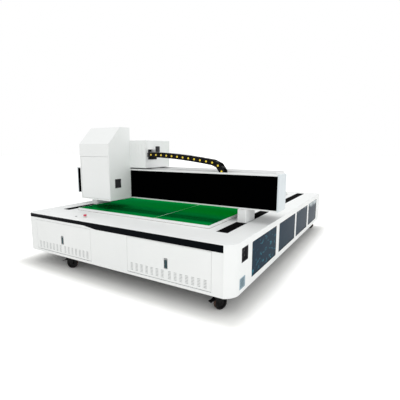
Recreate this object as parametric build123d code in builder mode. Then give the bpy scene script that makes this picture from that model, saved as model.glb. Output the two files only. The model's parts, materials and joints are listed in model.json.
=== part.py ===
from build123d import *
import os
from math import asin, atan, cos, degrees, radians, sin, sqrt

# Glass laser engraving machine: a long cabinet on casters, a raised bed, and a gantry
# whose head carries the laser tower. Origin on the floor under the middle of the machine,
# X across the front to the right, Y towards the rear, Z up, millimetres.

os.makedirs("parts", exist_ok=True)

# Cabinet
DEPTH = 3742
HALF_WIDTH = 1396.5
CABINET_Z = 160
TABLE_Z = 620
FRONT = -DEPTH / 2
REAR = DEPTH / 2
CORNER_WIDE = 87
CORNER_DEEP = 118
CORNER_BULGE = 16
FLAT_HALF = HALF_WIDTH - CORNER_WIDE
SHEET = 3
SKIN_Y = FRONT + SHEET
TABLE_EDGE = 12
CASE_TOP = TABLE_Z - TABLE_EDGE

# Front doors, their louvres and paddle latches
DOOR_X = 729.5
DOOR_HALF = 468
DOOR_GAP = 2.5
DOOR_BOTTOM = 190
DOOR_TOP = 545
DOOR_THICK = 18
PIVOT_R = 4
RUNNING = 0.05
LOUVRE_Z = 252
LOUVRE_GROUP_X = 226
LOUVRE_PITCH = 61.7
LOUVRE_COLUMNS = 7
LOUVRE_ROWS = 6
SLIT_WIDE = 30
SLIT_HIGH = 6
SLIT_PITCH = 13.5
REAR_LOUVRE_Z = 430
LATCH_Z = 356
LATCH_HALF_WIDE = 15
LATCH_HALF_HIGH = 45
LATCH_PLAY = 1
LATCH_THICK = 10
LATCH_POCKET = 13
LATCH_EAR_R = 5
LATCH_PIN_R = 2
LATCH_PIN_HALF = 18
FINGER_GAP = 14

# Black band under the table edge
BAND_LEFT_Z = 577
BAND_RIGHT_Z = 554
BAND_STEP_X = (-360, -170)

# Side windows: distances from the front plane
WINDOW_SPANS = ((427, 1169), (1279, 1998), (2070, 2740), (2830, 3440))
WINDOW_Z = (220, 557)
WINDOW_ROUND = 14
PANE = 4
PANE_LAP = 12

# Slots, rails and bellows
SLOT_X = 1113
SLOT_WIDE = 120
SLOT_FRONT = FRONT + 369
SLOT_REAR = FRONT + 3530
GIRDER_TOP = 490
GIRDER_HIGH = 160
RAIL_X = 1135
RAIL_WIDE = 34
RAIL_HIGH = 30
RAIL_GROOVE = (8, 10)
RAIL_PLAY = 0.3
Y_RAIL_HALF = 1700
MAGNET_X = 1083
MAGNET_WIDE = 36
MAGNET_HIGH = 10
PLEATS = 60
PLEAT_SIDE = 28.4
PLEAT_RISE = 2
PLEAT_SKIN = 4
BELLOWS_WIDE = 114
BELLOWS_PLAY = 0.5

# Bed
BED_HALF = 949
BED_FRONT = FRONT + 428
BED_REAR = FRONT + 3270
BED_Z = 650
BED_WALL = 6
GLASS = 4
GLASS_RIM = 5
GLASS_GAP = 1
BED_SEAM_X = 265

# Gantry
GANTRY_FRONT = FRONT + 880
GANTRY_REAR = FRONT + 1395
LEG_FRONT = FRONT + 842
LEG_REAR = FRONT + 1110
BEAM_BOTTOM = 760
BEAM_TOP = 1130
FASCIA_TOP = 1138
BEAM_HALF = 1470
CAP_HALF = 1490
BEAM_FRONT = GANTRY_FRONT + 142
BEAM_REAR = GANTRY_REAR - 15
BEAM_WALL = 8
PANEL_Z = (775, 1120)
PANEL_THICK = 4
FASCIA_SHEET = 4
FASCIA_LIP = 16
BASE_SHEET = 6
X_RAIL_Y = (-815, -525)
X_RAIL_WIDE = 23
X_RAIL_HIGH = 20
X_RAIL_GROOVE = (6, 7)
X_RAIL_INSET = 20
X_MAGNET_Y = (-700, -640)
X_MAGNET_HIGH = 8

# Head
TOWER_X = (-957.5, -447.5)
TOWER_FRONT = FRONT + 500
ROOF_Y = FRONT + 700
TOWER_REAR = GANTRY_FRONT - 5
TOWER_BOTTOM = 764
ROOF_LOW = 1452
ROOF_HIGH = 1658
TOWER_WALL = 4
HOUSING_RIGHT = -197.5
HOUSING_TOP = 1500
HOUSING_BOTTOM = 1155
HOUSING_SHEET = 3
CARRIAGE_X = (-930, -225)
CARRIAGE_Y = (-845, -500)
CARRIAGE_Z = 1175
CARRIAGE_THICK = 20
NECK_X = (-920, -485)
TOWER_DOOR_X = (-940, -465)
TOWER_DOOR_Z = (782, 1298)
TOWER_DOOR_THICK = 12
TOWER_DOOR_SEAM = 2
TOWER_PIN_R = 3
TOWER_PIN_LONG = 10

# Cable chain
CHAIN_PITCH = 78
CHAIN_RADIUS = 150
CHAIN_HIGH = 60
CHAIN_Y = GANTRY_FRONT + 70
CHAIN_WIDE = 90
CHAIN_START_X = -134
CHAIN_START_Z = 1320
CHAIN_TOP_PITCHES = 11
CHAIN_DROOP = 78
CHAIN_DROOP_POWER = 1.75
CHAIN_FLOOR_LINKS = 7
CHAIN_PLATE = 4
CHAIN_PLAY = 0.5

# Casters: king pin place and the direction of the pedal
CASTERS = {
    "front_left": (-735, FRONT + 88, 208, True),
    "front_right": (1212, FRONT + 88, 238, True),
    "rear_left": (-1245, REAR - 110, 180, False),
    "rear_right": (1245, REAR - 110, 160, False),
}
WHEEL_R = 62
WHEEL_WIDE = 36
WHEEL_TRAIL = 36
AXLE_R = 6
AXLE_HALF = 33
KING_R = 7
FORK_HALF = 29
FORK_SHEET = 4
PEDAL_HALF = 20
PEDAL_PIN_R = 3


def rect(x0, x1, y0, y1, mode=Mode.ADD):
    """Rectangle between two corners of the sketch plane."""
    with Locations(((x0 + x1) / 2, (y0 + y1) / 2)):
        Rectangle(x1 - x0, y1 - y0, mode=mode)


def block(x0, x1, y0, y1, z0, z1, mode=Mode.ADD):
    """Box between two corners."""
    with Locations(((x0 + x1) / 2, (y0 + y1) / 2, (z0 + z1) / 2)):
        Box(x1 - x0, y1 - y0, z1 - z0, mode=mode)


def facing_front(y):
    """Sketch plane that faces the front at the depth y, with X to the right and Z up."""
    return Plane.XZ.offset(-y)


def slits(x, z):
    """A row of louvre columns, each one a small stack of slits."""
    with Locations((x, z)):
        with GridLocations(LOUVRE_PITCH, SLIT_PITCH, LOUVRE_COLUMNS, LOUVRE_ROWS):
            Rectangle(SLIT_WIDE, SLIT_HIGH)


# Plan of the cabinet, with its two front corners turned by a shallow arc
corner_chord = sqrt(CORNER_WIDE**2 + CORNER_DEEP**2)
bulge_x = FLAT_HALF + CORNER_WIDE / 2 + CORNER_BULGE * CORNER_DEEP / corner_chord
bulge_y = FRONT + CORNER_DEEP / 2 - CORNER_BULGE * CORNER_WIDE / corner_chord
corner_y = FRONT + CORNER_DEEP
with BuildSketch() as plan:
    with BuildLine():
        Line((-FLAT_HALF, FRONT), (FLAT_HALF, FRONT))
        ThreePointArc((FLAT_HALF, FRONT), (bulge_x, bulge_y), (HALF_WIDTH, corner_y))
        Line((HALF_WIDTH, corner_y), (HALF_WIDTH, REAR))
        Line((HALF_WIDTH, REAR), (-HALF_WIDTH, REAR))
        Line((-HALF_WIDTH, REAR), (-HALF_WIDTH, corner_y))
        ThreePointArc((-HALF_WIDTH, corner_y), (-bulge_x, bulge_y), (-FLAT_HALF, FRONT))
    make_face()
case_plan = plan.sketch

# Welded frame of square tube: lower ring, cross members, posts and the two side girders
RING_X = 1290
RING_WIDE = 90
RING_INSET = 34
RING_Z = (CABINET_Z + SHEET, 226)
CROSS_Y = (-1480, -490, 500, 1490)
CROSS_WIDE = 80
CROSS_LAP = 5
GIRDER_BOTTOM = GIRDER_TOP - GIRDER_HIGH
GIRDER_WALL = 6
GIRDER_INSET = 90
TIE_HIGH = 100
POST_X = (-950, -480, 0, 480, 950)
POST_HALF = 40
with BuildPart() as base_frame:
    with BuildSketch(Plane.XY.offset(RING_Z[0])):
        rect(-RING_X, RING_X, FRONT + RING_INSET, REAR - RING_INSET)
        rect(
            -RING_X + RING_WIDE, RING_X - RING_WIDE, FRONT + RING_INSET + RING_WIDE,
            REAR - RING_INSET - RING_WIDE, mode=Mode.SUBTRACT,
        )
        for y in CROSS_Y:
            rect(-RING_X + CROSS_LAP, RING_X - CROSS_LAP, y - CROSS_WIDE / 2, y + CROSS_WIDE / 2)
    extrude(amount=RING_Z[1] - RING_Z[0])
    for side in (-1, 1):
        for y in CROSS_Y:
            with Locations((side * SLOT_X, y, (RING_Z[1] + GIRDER_BOTTOM) / 2)):
                Box(CROSS_WIDE, CROSS_WIDE, GIRDER_BOTTOM - RING_Z[1])
        with BuildSketch(facing_front(REAR - GIRDER_INSET)):
            with Locations((side * SLOT_X, GIRDER_TOP - GIRDER_HIGH / 2)):
                Rectangle(SLOT_WIDE, GIRDER_HIGH)
                offset(amount=-GIRDER_WALL, mode=Mode.SUBTRACT)
        extrude(amount=DEPTH - 2 * GIRDER_INSET)
    for y in CROSS_Y:
        block(
            -SLOT_X + SLOT_WIDE / 2, SLOT_X - SLOT_WIDE / 2,
            y - CROSS_WIDE / 2, y + CROSS_WIDE / 2, GIRDER_TOP - TIE_HIGH, GIRDER_TOP,
        )
        for x in POST_X:
            block(
                x - POST_HALF, x + POST_HALF, y - POST_HALF, y + POST_HALF,
                GIRDER_TOP, TABLE_Z - SHEET,
            )
base_frame.part.label = "base_frame"
export_step(base_frame.part, "parts/base_frame.step")

# Floor sheet of the cabinet, which the casters bolt to
with BuildPart() as bottom_pan:
    with BuildSketch(Plane.XY.offset(CABINET_Z)):
        offset(case_plan, amount=-2 * SHEET, mode=Mode.ADD)
    extrude(amount=SHEET)
bottom_pan.part.label = "bottom_pan"
export_step(bottom_pan.part, "parts/bottom_pan.step")

# Folded table top with the two long slots and the button holes
ESTOP_AT = (-510, FRONT + 159)
START_AT = (-635, FRONT + 135)
ESTOP_HOLE_R = 11
START_R = 11
TABLE_FLANGE = 4
with BuildPart() as table_top:
    with BuildSketch(Plane.XY.offset(CASE_TOP)):
        add(case_plan)
    extrude(amount=TABLE_EDGE)
    with BuildSketch(Plane.XY.offset(CASE_TOP)):
        offset(case_plan, amount=-TABLE_FLANGE, mode=Mode.ADD)
        for side in (-1, 1):
            x = side * SLOT_X
            half = SLOT_WIDE / 2 + SHEET
            rect(x - half, x + half, SLOT_FRONT - SHEET, SLOT_REAR + SHEET, mode=Mode.SUBTRACT)
    extrude(amount=TABLE_EDGE - SHEET, mode=Mode.SUBTRACT)
    with BuildSketch(Plane.XY.offset(CASE_TOP)):
        for side in (-1, 1):
            x = side * SLOT_X
            rect(x - SLOT_WIDE / 2, x + SLOT_WIDE / 2, SLOT_FRONT, SLOT_REAR)
        with Locations(ESTOP_AT):
            Circle(ESTOP_HOLE_R)
        with Locations(START_AT):
            Circle(START_R + RUNNING)
    extrude(amount=TABLE_EDGE, mode=Mode.SUBTRACT)
table_top.part.label = "table_top"
export_step(table_top.part, "parts/table_top.step")

# Raised bed tray, open below, and the two green glass sheets set into it
with BuildPart() as bed_plate:
    block(-BED_HALF, BED_HALF, BED_FRONT, BED_REAR, TABLE_Z, BED_Z)
    fillet(bed_plate.edges().filter_by(Axis.Z), radius=BED_WALL)
    block(
        -BED_HALF + BED_WALL, BED_HALF - BED_WALL, BED_FRONT + BED_WALL, BED_REAR - BED_WALL,
        TABLE_Z, BED_Z - GLASS - BED_WALL, mode=Mode.SUBTRACT,
    )
    block(
        -BED_HALF + GLASS_RIM, BED_HALF - GLASS_RIM, BED_FRONT + GLASS_RIM, BED_REAR - GLASS_RIM,
        BED_Z - GLASS, BED_Z, mode=Mode.SUBTRACT,
    )
bed_plate.part.label = "bed_plate"
export_step(bed_plate.part, "parts/bed_plate.step")

GLASS_HALF = BED_HALF - GLASS_RIM - GLASS_GAP
GLASS_Y = (BED_FRONT + GLASS_RIM + GLASS_GAP, BED_REAR - GLASS_RIM - GLASS_GAP)
with BuildPart() as bed_sheets:
    for x0, x1 in ((-GLASS_HALF, BED_SEAM_X - GLASS_GAP), (BED_SEAM_X + GLASS_GAP, GLASS_HALF)):
        block(x0, x1, *GLASS_Y, BED_Z - GLASS, BED_Z)
bed_sheets.part.label = "bed_sheets"
export_step(bed_sheets.part, "parts/bed_sheets.step")

# Front sheet with the two door openings, their flanges and welded pivot pins
OPEN_HALF = DOOR_HALF + DOOR_GAP
OPEN_BOTTOM = DOOR_BOTTOM - DOOR_GAP
OPEN_TOP = DOOR_TOP + DOOR_GAP
FLANGE_DEEP = 24
PIVOT_Y = SKIN_Y + DOOR_THICK / 2
PIVOT_Z = DOOR_BOTTOM + DOOR_THICK / 2
PIVOT_REACH = 10
with BuildPart() as front_frame:
    with BuildSketch(facing_front(SKIN_Y + SHEET)):
        rect(-FLAT_HALF, FLAT_HALF, CABINET_Z, CASE_TOP)
        for side in (-1, 1):
            x = side * DOOR_X
            rect(x - OPEN_HALF, x + OPEN_HALF, OPEN_BOTTOM, OPEN_TOP, mode=Mode.SUBTRACT)
    extrude(amount=SHEET)
    with BuildSketch(facing_front(SKIN_Y + SHEET + FLANGE_DEEP)):
        for side in (-1, 1):
            x = side * DOOR_X
            half = OPEN_HALF + SHEET
            rect(x - half, x + half, OPEN_BOTTOM - SHEET, OPEN_TOP + SHEET)
            rect(x - OPEN_HALF, x + OPEN_HALF, OPEN_BOTTOM, OPEN_TOP, mode=Mode.SUBTRACT)
    extrude(amount=FLANGE_DEEP)
    for side in (-1, 1):
        for end in (-1, 1):
            pin_x = side * DOOR_X + end * (OPEN_HALF + SHEET)
            with BuildSketch(Plane.YZ.offset(pin_x)):
                with Locations((PIVOT_Y, PIVOT_Z)):
                    Circle(PIVOT_R)
            extrude(amount=-end * (SHEET + DOOR_GAP + PIVOT_REACH))
front_frame.part.label = "front_frame"
export_step(front_frame.part, "parts/front_frame.step")

# Doors: folded trays that drop forward about the pins at their rounded lower edge
LATCH_PIVOT_Y = SKIN_Y + LATCH_EAR_R
LATCH_PIVOT_Z = LATCH_Z - LATCH_HALF_HIGH + LATCH_EAR_R
LATCH_PAD_HALF = (23, 54)
PIVOT_PLAY = 2
for side, name in ((-1, "door_left"), (1, "door_right")):
    x = side * DOOR_X
    with BuildPart() as door:
        with BuildSketch(Plane.YZ.offset(x - DOOR_HALF)):
            rect(SKIN_Y, SKIN_Y + DOOR_THICK, PIVOT_Z, DOOR_TOP)
            with Locations((PIVOT_Y, PIVOT_Z)):
                Circle(DOOR_THICK / 2)
        extrude(amount=2 * DOOR_HALF)
        block(
            x - DOOR_HALF + SHEET, x + DOOR_HALF - SHEET, SKIN_Y + SHEET, SKIN_Y + DOOR_THICK,
            PIVOT_Z + DOOR_THICK / 2 + SHEET, DOOR_TOP - SHEET, mode=Mode.SUBTRACT,
        )
        block(
            x - LATCH_PAD_HALF[0], x + LATCH_PAD_HALF[0], SKIN_Y, SKIN_Y + DOOR_THICK,
            LATCH_Z - LATCH_PAD_HALF[1], LATCH_Z + LATCH_PAD_HALF[1],
        )
        wide = LATCH_HALF_WIDE + LATCH_PLAY
        high = LATCH_HALF_HIGH + LATCH_PLAY
        block(
            x - wide, x + wide, SKIN_Y, SKIN_Y + LATCH_POCKET,
            LATCH_Z - high, LATCH_Z + high, mode=Mode.SUBTRACT,
        )
        pin_half = LATCH_PIN_HALF + LATCH_PLAY
        with BuildSketch(Plane.YZ.offset(x - pin_half)):
            with Locations((LATCH_PIVOT_Y, LATCH_PIVOT_Z)):
                Circle(LATCH_PIN_R + RUNNING)
        extrude(amount=2 * pin_half, mode=Mode.SUBTRACT)
        for end in (-1, 1):
            with BuildSketch(Plane.YZ.offset(x + end * DOOR_HALF)):
                with Locations((PIVOT_Y, PIVOT_Z)):
                    Circle(PIVOT_R + RUNNING)
            extrude(amount=-end * (PIVOT_REACH + PIVOT_PLAY), mode=Mode.SUBTRACT)
        with BuildSketch(facing_front(SKIN_Y + SHEET + 1)):
            for group in (-1, 1):
                slits(x + group * LOUVRE_GROUP_X, LOUVRE_Z)
        extrude(amount=SHEET + 2, mode=Mode.SUBTRACT)
    door.part.label = name
    export_step(door.part, f"parts/{name}.step")

# Paddle latches, flush in the doors and pulled out by their upper end
for side, name in ((-1, "latch_paddle_left"), (1, "latch_paddle_right")):
    x = side * DOOR_X
    with BuildPart() as paddle:
        with BuildSketch(Plane.YZ.offset(x - LATCH_HALF_WIDE)):
            rect(
                SKIN_Y, SKIN_Y + LATCH_THICK, LATCH_PIVOT_Z, LATCH_Z + LATCH_HALF_HIGH - FINGER_GAP,
            )
            with Locations((LATCH_PIVOT_Y, LATCH_PIVOT_Z)):
                Circle(LATCH_EAR_R)
        extrude(amount=2 * LATCH_HALF_WIDE)
        with BuildSketch(Plane.YZ.offset(x - LATCH_PIN_HALF)):
            with Locations((LATCH_PIVOT_Y, LATCH_PIVOT_Z)):
                Circle(LATCH_PIN_R)
        extrude(amount=2 * LATCH_PIN_HALF)
    paddle.part.label = name
    export_step(paddle.part, f"parts/{name}.step")

# Black band under the table edge, deeper to the right of its slanted step
with BuildPart() as front_band:
    with BuildSketch(facing_front(SKIN_Y)):
        with BuildLine():
            Polyline(
                (-FLAT_HALF, CASE_TOP), (-FLAT_HALF, BAND_LEFT_Z), (BAND_STEP_X[0], BAND_LEFT_Z),
                (BAND_STEP_X[1], BAND_RIGHT_Z), (FLAT_HALF, BAND_RIGHT_Z), (FLAT_HALF, CASE_TOP),
                close=True,
            )
        make_face()
    extrude(amount=SHEET)
front_band.part.label = "front_band"
export_step(front_band.part, "parts/front_band.step")

# Rolled corner panels
for side, name in ((-1, "corner_left"), (1, "corner_right")):
    with BuildPart() as corner:
        with BuildSketch(Plane.XY.offset(CABINET_Z)):
            add(case_plan)
            offset(case_plan, amount=-SHEET, mode=Mode.SUBTRACT)
            with Locations((side * (FLAT_HALF + CORNER_WIDE), FRONT)):
                Rectangle(2 * CORNER_WIDE, 2 * CORNER_DEEP, mode=Mode.INTERSECT)
        extrude(amount=CASE_TOP - CABINET_Z)
    corner.part.label = name
    export_step(corner.part, f"parts/{name}.step")

# Side sheets with four window openings; the right one also takes the socket and grille
SOCKET_Y = (FRONT + 180, FRONT + 327)
SOCKET_Z = (430, 560)
GRILLE_Y = (FRONT + 145, FRONT + 265)
GRILLE_Z = (200, 300)
GRILLE_LAP = 10
for side, name in ((-1, "side_frame_left"), (1, "side_frame_right")):
    with BuildPart() as side_frame:
        with BuildSketch(Plane.YZ.offset(side * (HALF_WIDTH - SHEET))):
            rect(corner_y, REAR, CABINET_Z, CASE_TOP)
            for near, far in WINDOW_SPANS:
                middle = FRONT + (near + far) / 2
                with Locations((middle, sum(WINDOW_Z) / 2)):
                    RectangleRounded(
                        far - near, WINDOW_Z[1] - WINDOW_Z[0], WINDOW_ROUND, mode=Mode.SUBTRACT,
                    )
            if side > 0:
                rect(*SOCKET_Y, *SOCKET_Z, mode=Mode.SUBTRACT)
                rect(
                    GRILLE_Y[0] + GRILLE_LAP, GRILLE_Y[1] - GRILLE_LAP,
                    GRILLE_Z[0] + GRILLE_LAP, GRILLE_Z[1] - GRILLE_LAP, mode=Mode.SUBTRACT,
                )
        extrude(amount=side * SHEET)
    side_frame.part.label = name
    export_step(side_frame.part, f"parts/{name}.step")

# Dark glass panes behind the window openings, four to a side
for side, name in ((-1, "windows_left"), (1, "windows_right")):
    with BuildPart() as windows:
        with BuildSketch(Plane.YZ.offset(side * (HALF_WIDTH - SHEET))):
            for near, far in WINDOW_SPANS:
                rect(
                    FRONT + near - PANE_LAP, FRONT + far + PANE_LAP,
                    WINDOW_Z[0] - PANE_LAP, WINDOW_Z[1] + PANE_LAP,
                )
        extrude(amount=-side * PANE)
    windows.part.label = name
    export_step(windows.part, f"parts/{name}.step")

# Black recessed socket panel on the right side
SOCKET_DEEP = 40
SOCKET_WALL = 6
INLET_R = 13
INLET_HIGH = 10
INLET_SPREAD = (60, 50)
with BuildPart() as socket_panel:
    floor_x = HALF_WIDTH - SOCKET_DEEP + SOCKET_WALL
    block(HALF_WIDTH - SOCKET_DEEP, HALF_WIDTH, *SOCKET_Y, *SOCKET_Z)
    block(
        floor_x, HALF_WIDTH, SOCKET_Y[0] + SOCKET_WALL, SOCKET_Y[1] - SOCKET_WALL,
        SOCKET_Z[0] + SOCKET_WALL, SOCKET_Z[1] - SOCKET_WALL, mode=Mode.SUBTRACT,
    )
    with BuildSketch(Plane.YZ.offset(floor_x)):
        with Locations((sum(SOCKET_Y) / 2, sum(SOCKET_Z) / 2)):
            with GridLocations(*INLET_SPREAD, 2, 2):
                Circle(INLET_R)
    extrude(amount=INLET_HIGH)
socket_panel.part.label = "socket_panel"
export_step(socket_panel.part, "parts/socket_panel.step")

# Small louvred plate over the fan opening
GRILLE_SLOT = (96, 6)
GRILLE_PITCH = 14
GRILLE_SLOTS = 6
GRILLE_THICK = 2
with BuildPart() as vent_grille:
    with BuildSketch(Plane.YZ.offset(HALF_WIDTH)):
        rect(*GRILLE_Y, *GRILLE_Z)
        with Locations((sum(GRILLE_Y) / 2, sum(GRILLE_Z) / 2)):
            with GridLocations(0, GRILLE_PITCH, 1, GRILLE_SLOTS):
                Rectangle(*GRILLE_SLOT, mode=Mode.SUBTRACT)
    extrude(amount=GRILLE_THICK)
vent_grille.part.label = "vent_grille"
export_step(vent_grille.part, "parts/vent_grille.step")

# Rear sheet with two rows of louvres
with BuildPart() as rear_panel:
    with BuildSketch(facing_front(REAR)):
        rect(-HALF_WIDTH + SHEET, HALF_WIDTH - SHEET, CABINET_Z, CASE_TOP)
    extrude(amount=SHEET)
    with BuildSketch(facing_front(REAR + 1)):
        for side in (-1, 1):
            slits(side * DOOR_X, REAR_LOUVRE_Z)
    extrude(amount=SHEET + 2, mode=Mode.SUBTRACT)
rear_panel.part.label = "rear_panel"
export_step(rear_panel.part, "parts/rear_panel.step")

# Gantry rails: steel bars with a groove in each flank
with BuildPart() as y_rails:
    with BuildSketch(facing_front(Y_RAIL_HALF)):
        for side in (-1, 1):
            with Locations((side * RAIL_X, GIRDER_TOP + RAIL_HIGH / 2)):
                Rectangle(RAIL_WIDE, RAIL_HIGH)
                with GridLocations(RAIL_WIDE, 0, 2, 1):
                    Rectangle(*RAIL_GROOVE, rotation=45, mode=Mode.SUBTRACT)
    extrude(amount=2 * Y_RAIL_HALF)
y_rails.part.label = "y_rails"
export_step(y_rails.part, "parts/y_rails.step")

# Magnet tracks of the two linear motors, beside the rails
with BuildPart() as y_magnet_tracks:
    with BuildSketch(facing_front(Y_RAIL_HALF)):
        for side in (-1, 1):
            with Locations((side * MAGNET_X, GIRDER_TOP + MAGNET_HIGH / 2)):
                Rectangle(MAGNET_WIDE, MAGNET_HIGH)
    extrude(amount=2 * Y_RAIL_HALF)
y_magnet_tracks.part.label = "y_magnet_tracks"
export_step(y_magnet_tracks.part, "parts/y_magnet_tracks.step")

# Pleated covers over the slots, in front of and behind each leg
BELLOWS_SPANS = (
    ("front", SLOT_FRONT + BELLOWS_PLAY, LEG_FRONT - BELLOWS_PLAY),
    ("rear", LEG_REAR + BELLOWS_PLAY, SLOT_REAR - BELLOWS_PLAY),
)
for side, hand in ((-1, "left"), (1, "right")):
    for place, start, end in BELLOWS_SPANS:
        name = f"bellows_{place}_{hand}"
        fold = (end - start) / PLEATS / 2
        fold_high = sqrt(PLEAT_SIDE**2 - fold**2)
        crest = TABLE_Z + PLEAT_RISE
        ridge = [(start + i * fold, crest - fold_high * ((i + 1) % 2)) for i in range(2 * PLEATS + 1)]
        under = [(y, z - PLEAT_SKIN) for y, z in reversed(ridge)]
        with BuildPart() as bellows:
            with BuildSketch(Plane.YZ.offset(side * SLOT_X - BELLOWS_WIDE / 2)):
                with BuildLine():
                    Polyline(*ridge, *under, close=True)
                make_face()
            extrude(amount=BELLOWS_WIDE)
        bellows.part.label = name
        export_step(bellows.part, f"parts/{name}.step")

# Emergency stop: yellow collar and red mushroom on a stem
COLLAR_R = 22
COLLAR_HIGH = 12
COLLAR_BEVEL = 3
STEM_R = 8
with BuildPart() as estop_base:
    with BuildSketch(Plane.XY.offset(TABLE_Z)):
        with Locations(ESTOP_AT):
            Circle(COLLAR_R)
            Circle(STEM_R + RUNNING, mode=Mode.SUBTRACT)
    extrude(amount=COLLAR_HIGH)
    rim = estop_base.edges().filter_by(GeomType.CIRCLE).group_by(Axis.Z)[-1].sort_by(SortBy.LENGTH)[-1]
    chamfer(rim, COLLAR_BEVEL)
estop_base.part.label = "estop_base"
export_step(estop_base.part, "parts/estop_base.step")

with BuildPart() as estop_button:
    with BuildSketch(Plane(origin=(*ESTOP_AT, TABLE_Z), x_dir=(1, 0, 0), z_dir=(0, -1, 0))):
        with BuildLine():
            Polyline(
                (0, 2), (STEM_R, 2), (STEM_R, 20), (17, 20), (20, 24), (20, 28), (17, 32), (10, 35),
                (0, 36), close=True,
            )
        make_face()
    revolve(axis=Axis(origin=(*ESTOP_AT, TABLE_Z), direction=(0, 0, 1)))
estop_button.part.label = "estop_button"
export_step(estop_button.part, "parts/estop_button.step")

# Start button, which stands a little proud of the table
START_BELOW = 8
START_PROUD = 6
START_BEVEL = 2
with BuildPart() as start_button:
    with BuildSketch(Plane.XY.offset(TABLE_Z - START_BELOW)):
        with Locations(START_AT):
            Circle(START_R)
    extrude(amount=START_BELOW + START_PROUD)
    chamfer(start_button.edges().filter_by(GeomType.CIRCLE).sort_by(Axis.Z)[-1], START_BEVEL)
start_button.part.label = "start_button"
export_step(start_button.part, "parts/start_button.step")

# Casters: plates bolted to the floor sheet, then fork, wheel and brake pedal of each
FORK_TOP = 136
FORK_HEAD_R = 34
PLATE_THICK = 8
PLATE_SIZE = (100, 86)
PLATE_ROUND = 6
TOUCH_GAP = 0.3
with BuildPart() as caster_plates:
    for king_x, king_y, heading, braked in CASTERS.values():
        with BuildSketch(Plane.XY.offset(CABINET_Z - PLATE_THICK)):
            with Locations((king_x, king_y)):
                RectangleRounded(*PLATE_SIZE, PLATE_ROUND)
                Circle(KING_R + RUNNING, mode=Mode.SUBTRACT)
        extrude(amount=PLATE_THICK)
caster_plates.part.label = "caster_plates"
export_step(caster_plates.part, "parts/caster_plates.step")

PEDAL_AT = (14, 112)
for corner_name, (king_x, king_y, heading, braked) in CASTERS.items():
    ahead = (cos(radians(heading)), sin(radians(heading)), 0)
    wheel_at = (king_x - WHEEL_TRAIL * ahead[0], king_y - WHEEL_TRAIL * ahead[1], WHEEL_R)
    side_plane = Plane(origin=(king_x, king_y, 0), x_dir=ahead, z_dir=(ahead[1], -ahead[0], 0))
    base_plane = Plane(origin=(king_x, king_y, 0), x_dir=ahead, z_dir=(0, 0, 1))

    # Fork: pressed yoke with king pin and axle bolt
    fork_name = f"caster_fork_{corner_name}"
    with BuildPart() as fork:
        with BuildSketch(base_plane.offset(FORK_TOP)):
            Circle(FORK_HEAD_R)
        extrude(amount=CABINET_Z - PLATE_THICK - FORK_TOP - TOUCH_GAP)
        with BuildSketch(base_plane.offset(FORK_TOP)):
            Circle(KING_R)
        extrude(amount=CABINET_Z - FORK_TOP - 1)
        with BuildSketch(side_plane.offset(-FORK_HALF)):
            with BuildLine():
                Polyline(
                    (-WHEEL_TRAIL - 14, WHEEL_R - 4), (-WHEEL_TRAIL - 24, 104), (-34, FORK_TOP),
                    (34, FORK_TOP), (22, 100), (-WHEEL_TRAIL + 12, WHEEL_R - 8),
                )
                ThreePointArc(
                    (-WHEEL_TRAIL + 12, WHEEL_R - 8), (-WHEEL_TRAIL, WHEEL_R - 14),
                    (-WHEEL_TRAIL - 14, WHEEL_R - 4),
                )
            make_face()
        extrude(amount=2 * FORK_HALF)
        with BuildSketch(side_plane.offset(FORK_SHEET - FORK_HALF)):
            rect(-WHEEL_TRAIL - WHEEL_R, WHEEL_R, 0, FORK_TOP - FORK_SHEET)
        extrude(amount=2 * (FORK_HALF - FORK_SHEET), mode=Mode.SUBTRACT)
        with BuildSketch(side_plane.offset(-AXLE_HALF)):
            with Locations((-WHEEL_TRAIL, WHEEL_R)):
                Circle(AXLE_R)
        extrude(amount=2 * AXLE_HALF)
        if braked:
            with BuildSketch(side_plane.offset(-FORK_HALF)):
                with Locations(PEDAL_AT):
                    Circle(PEDAL_PIN_R)
            extrude(amount=2 * FORK_HALF)
    fork.part.label = fork_name
    export_step(fork.part, f"parts/{fork_name}.step")

    # Wheel: tyre with turned-off shoulders on a webbed hub
    wheel_name = f"caster_wheel_{corner_name}"
    wheel_plane = Plane(origin=wheel_at, x_dir=(ahead[1], -ahead[0], 0), z_dir=(-ahead[0], -ahead[1], 0))
    half = WHEEL_WIDE / 2
    bore = AXLE_R + RUNNING
    with BuildPart() as wheel:
        with BuildSketch(wheel_plane):
            with BuildLine():
                Polyline(
                    (-half - 4, bore), (-half - 4, 16), (-6, 20), (-6, 42), (-half, 48),
                    (-half, WHEEL_R - 7), (-half + 3, WHEEL_R - 2), (-half + 8, WHEEL_R),
                    (half - 8, WHEEL_R), (half - 3, WHEEL_R - 2), (half, WHEEL_R - 7),
                    (half, 48), (6, 42), (6, 20), (half + 4, 16), (half + 4, bore), close=True,
                )
            make_face()
        revolve(axis=Axis(origin=wheel_at, direction=(ahead[1], -ahead[0], 0)))
    wheel.part.label = wheel_name
    export_step(wheel.part, f"parts/{wheel_name}.step")

    # Brake pedal, on a pin between the cheeks of the fork
    if braked:
        pedal_name = f"caster_pedal_{corner_name}"
        with BuildPart() as pedal:
            with BuildSketch(side_plane.offset(-PEDAL_HALF)):
                with BuildLine():
                    Polyline(
                        (0, 124), (0, 118), (8, 112), (16, 103), (30, 98), (72, 86), (74, 92),
                        (34, 108), (14, 122), close=True,
                    )
                make_face()
                with Locations(PEDAL_AT):
                    Circle(PEDAL_PIN_R + RUNNING, mode=Mode.SUBTRACT)
            extrude(amount=2 * PEDAL_HALF)
        pedal.part.label = pedal_name
        export_step(pedal.part, f"parts/{pedal_name}.step")

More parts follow.
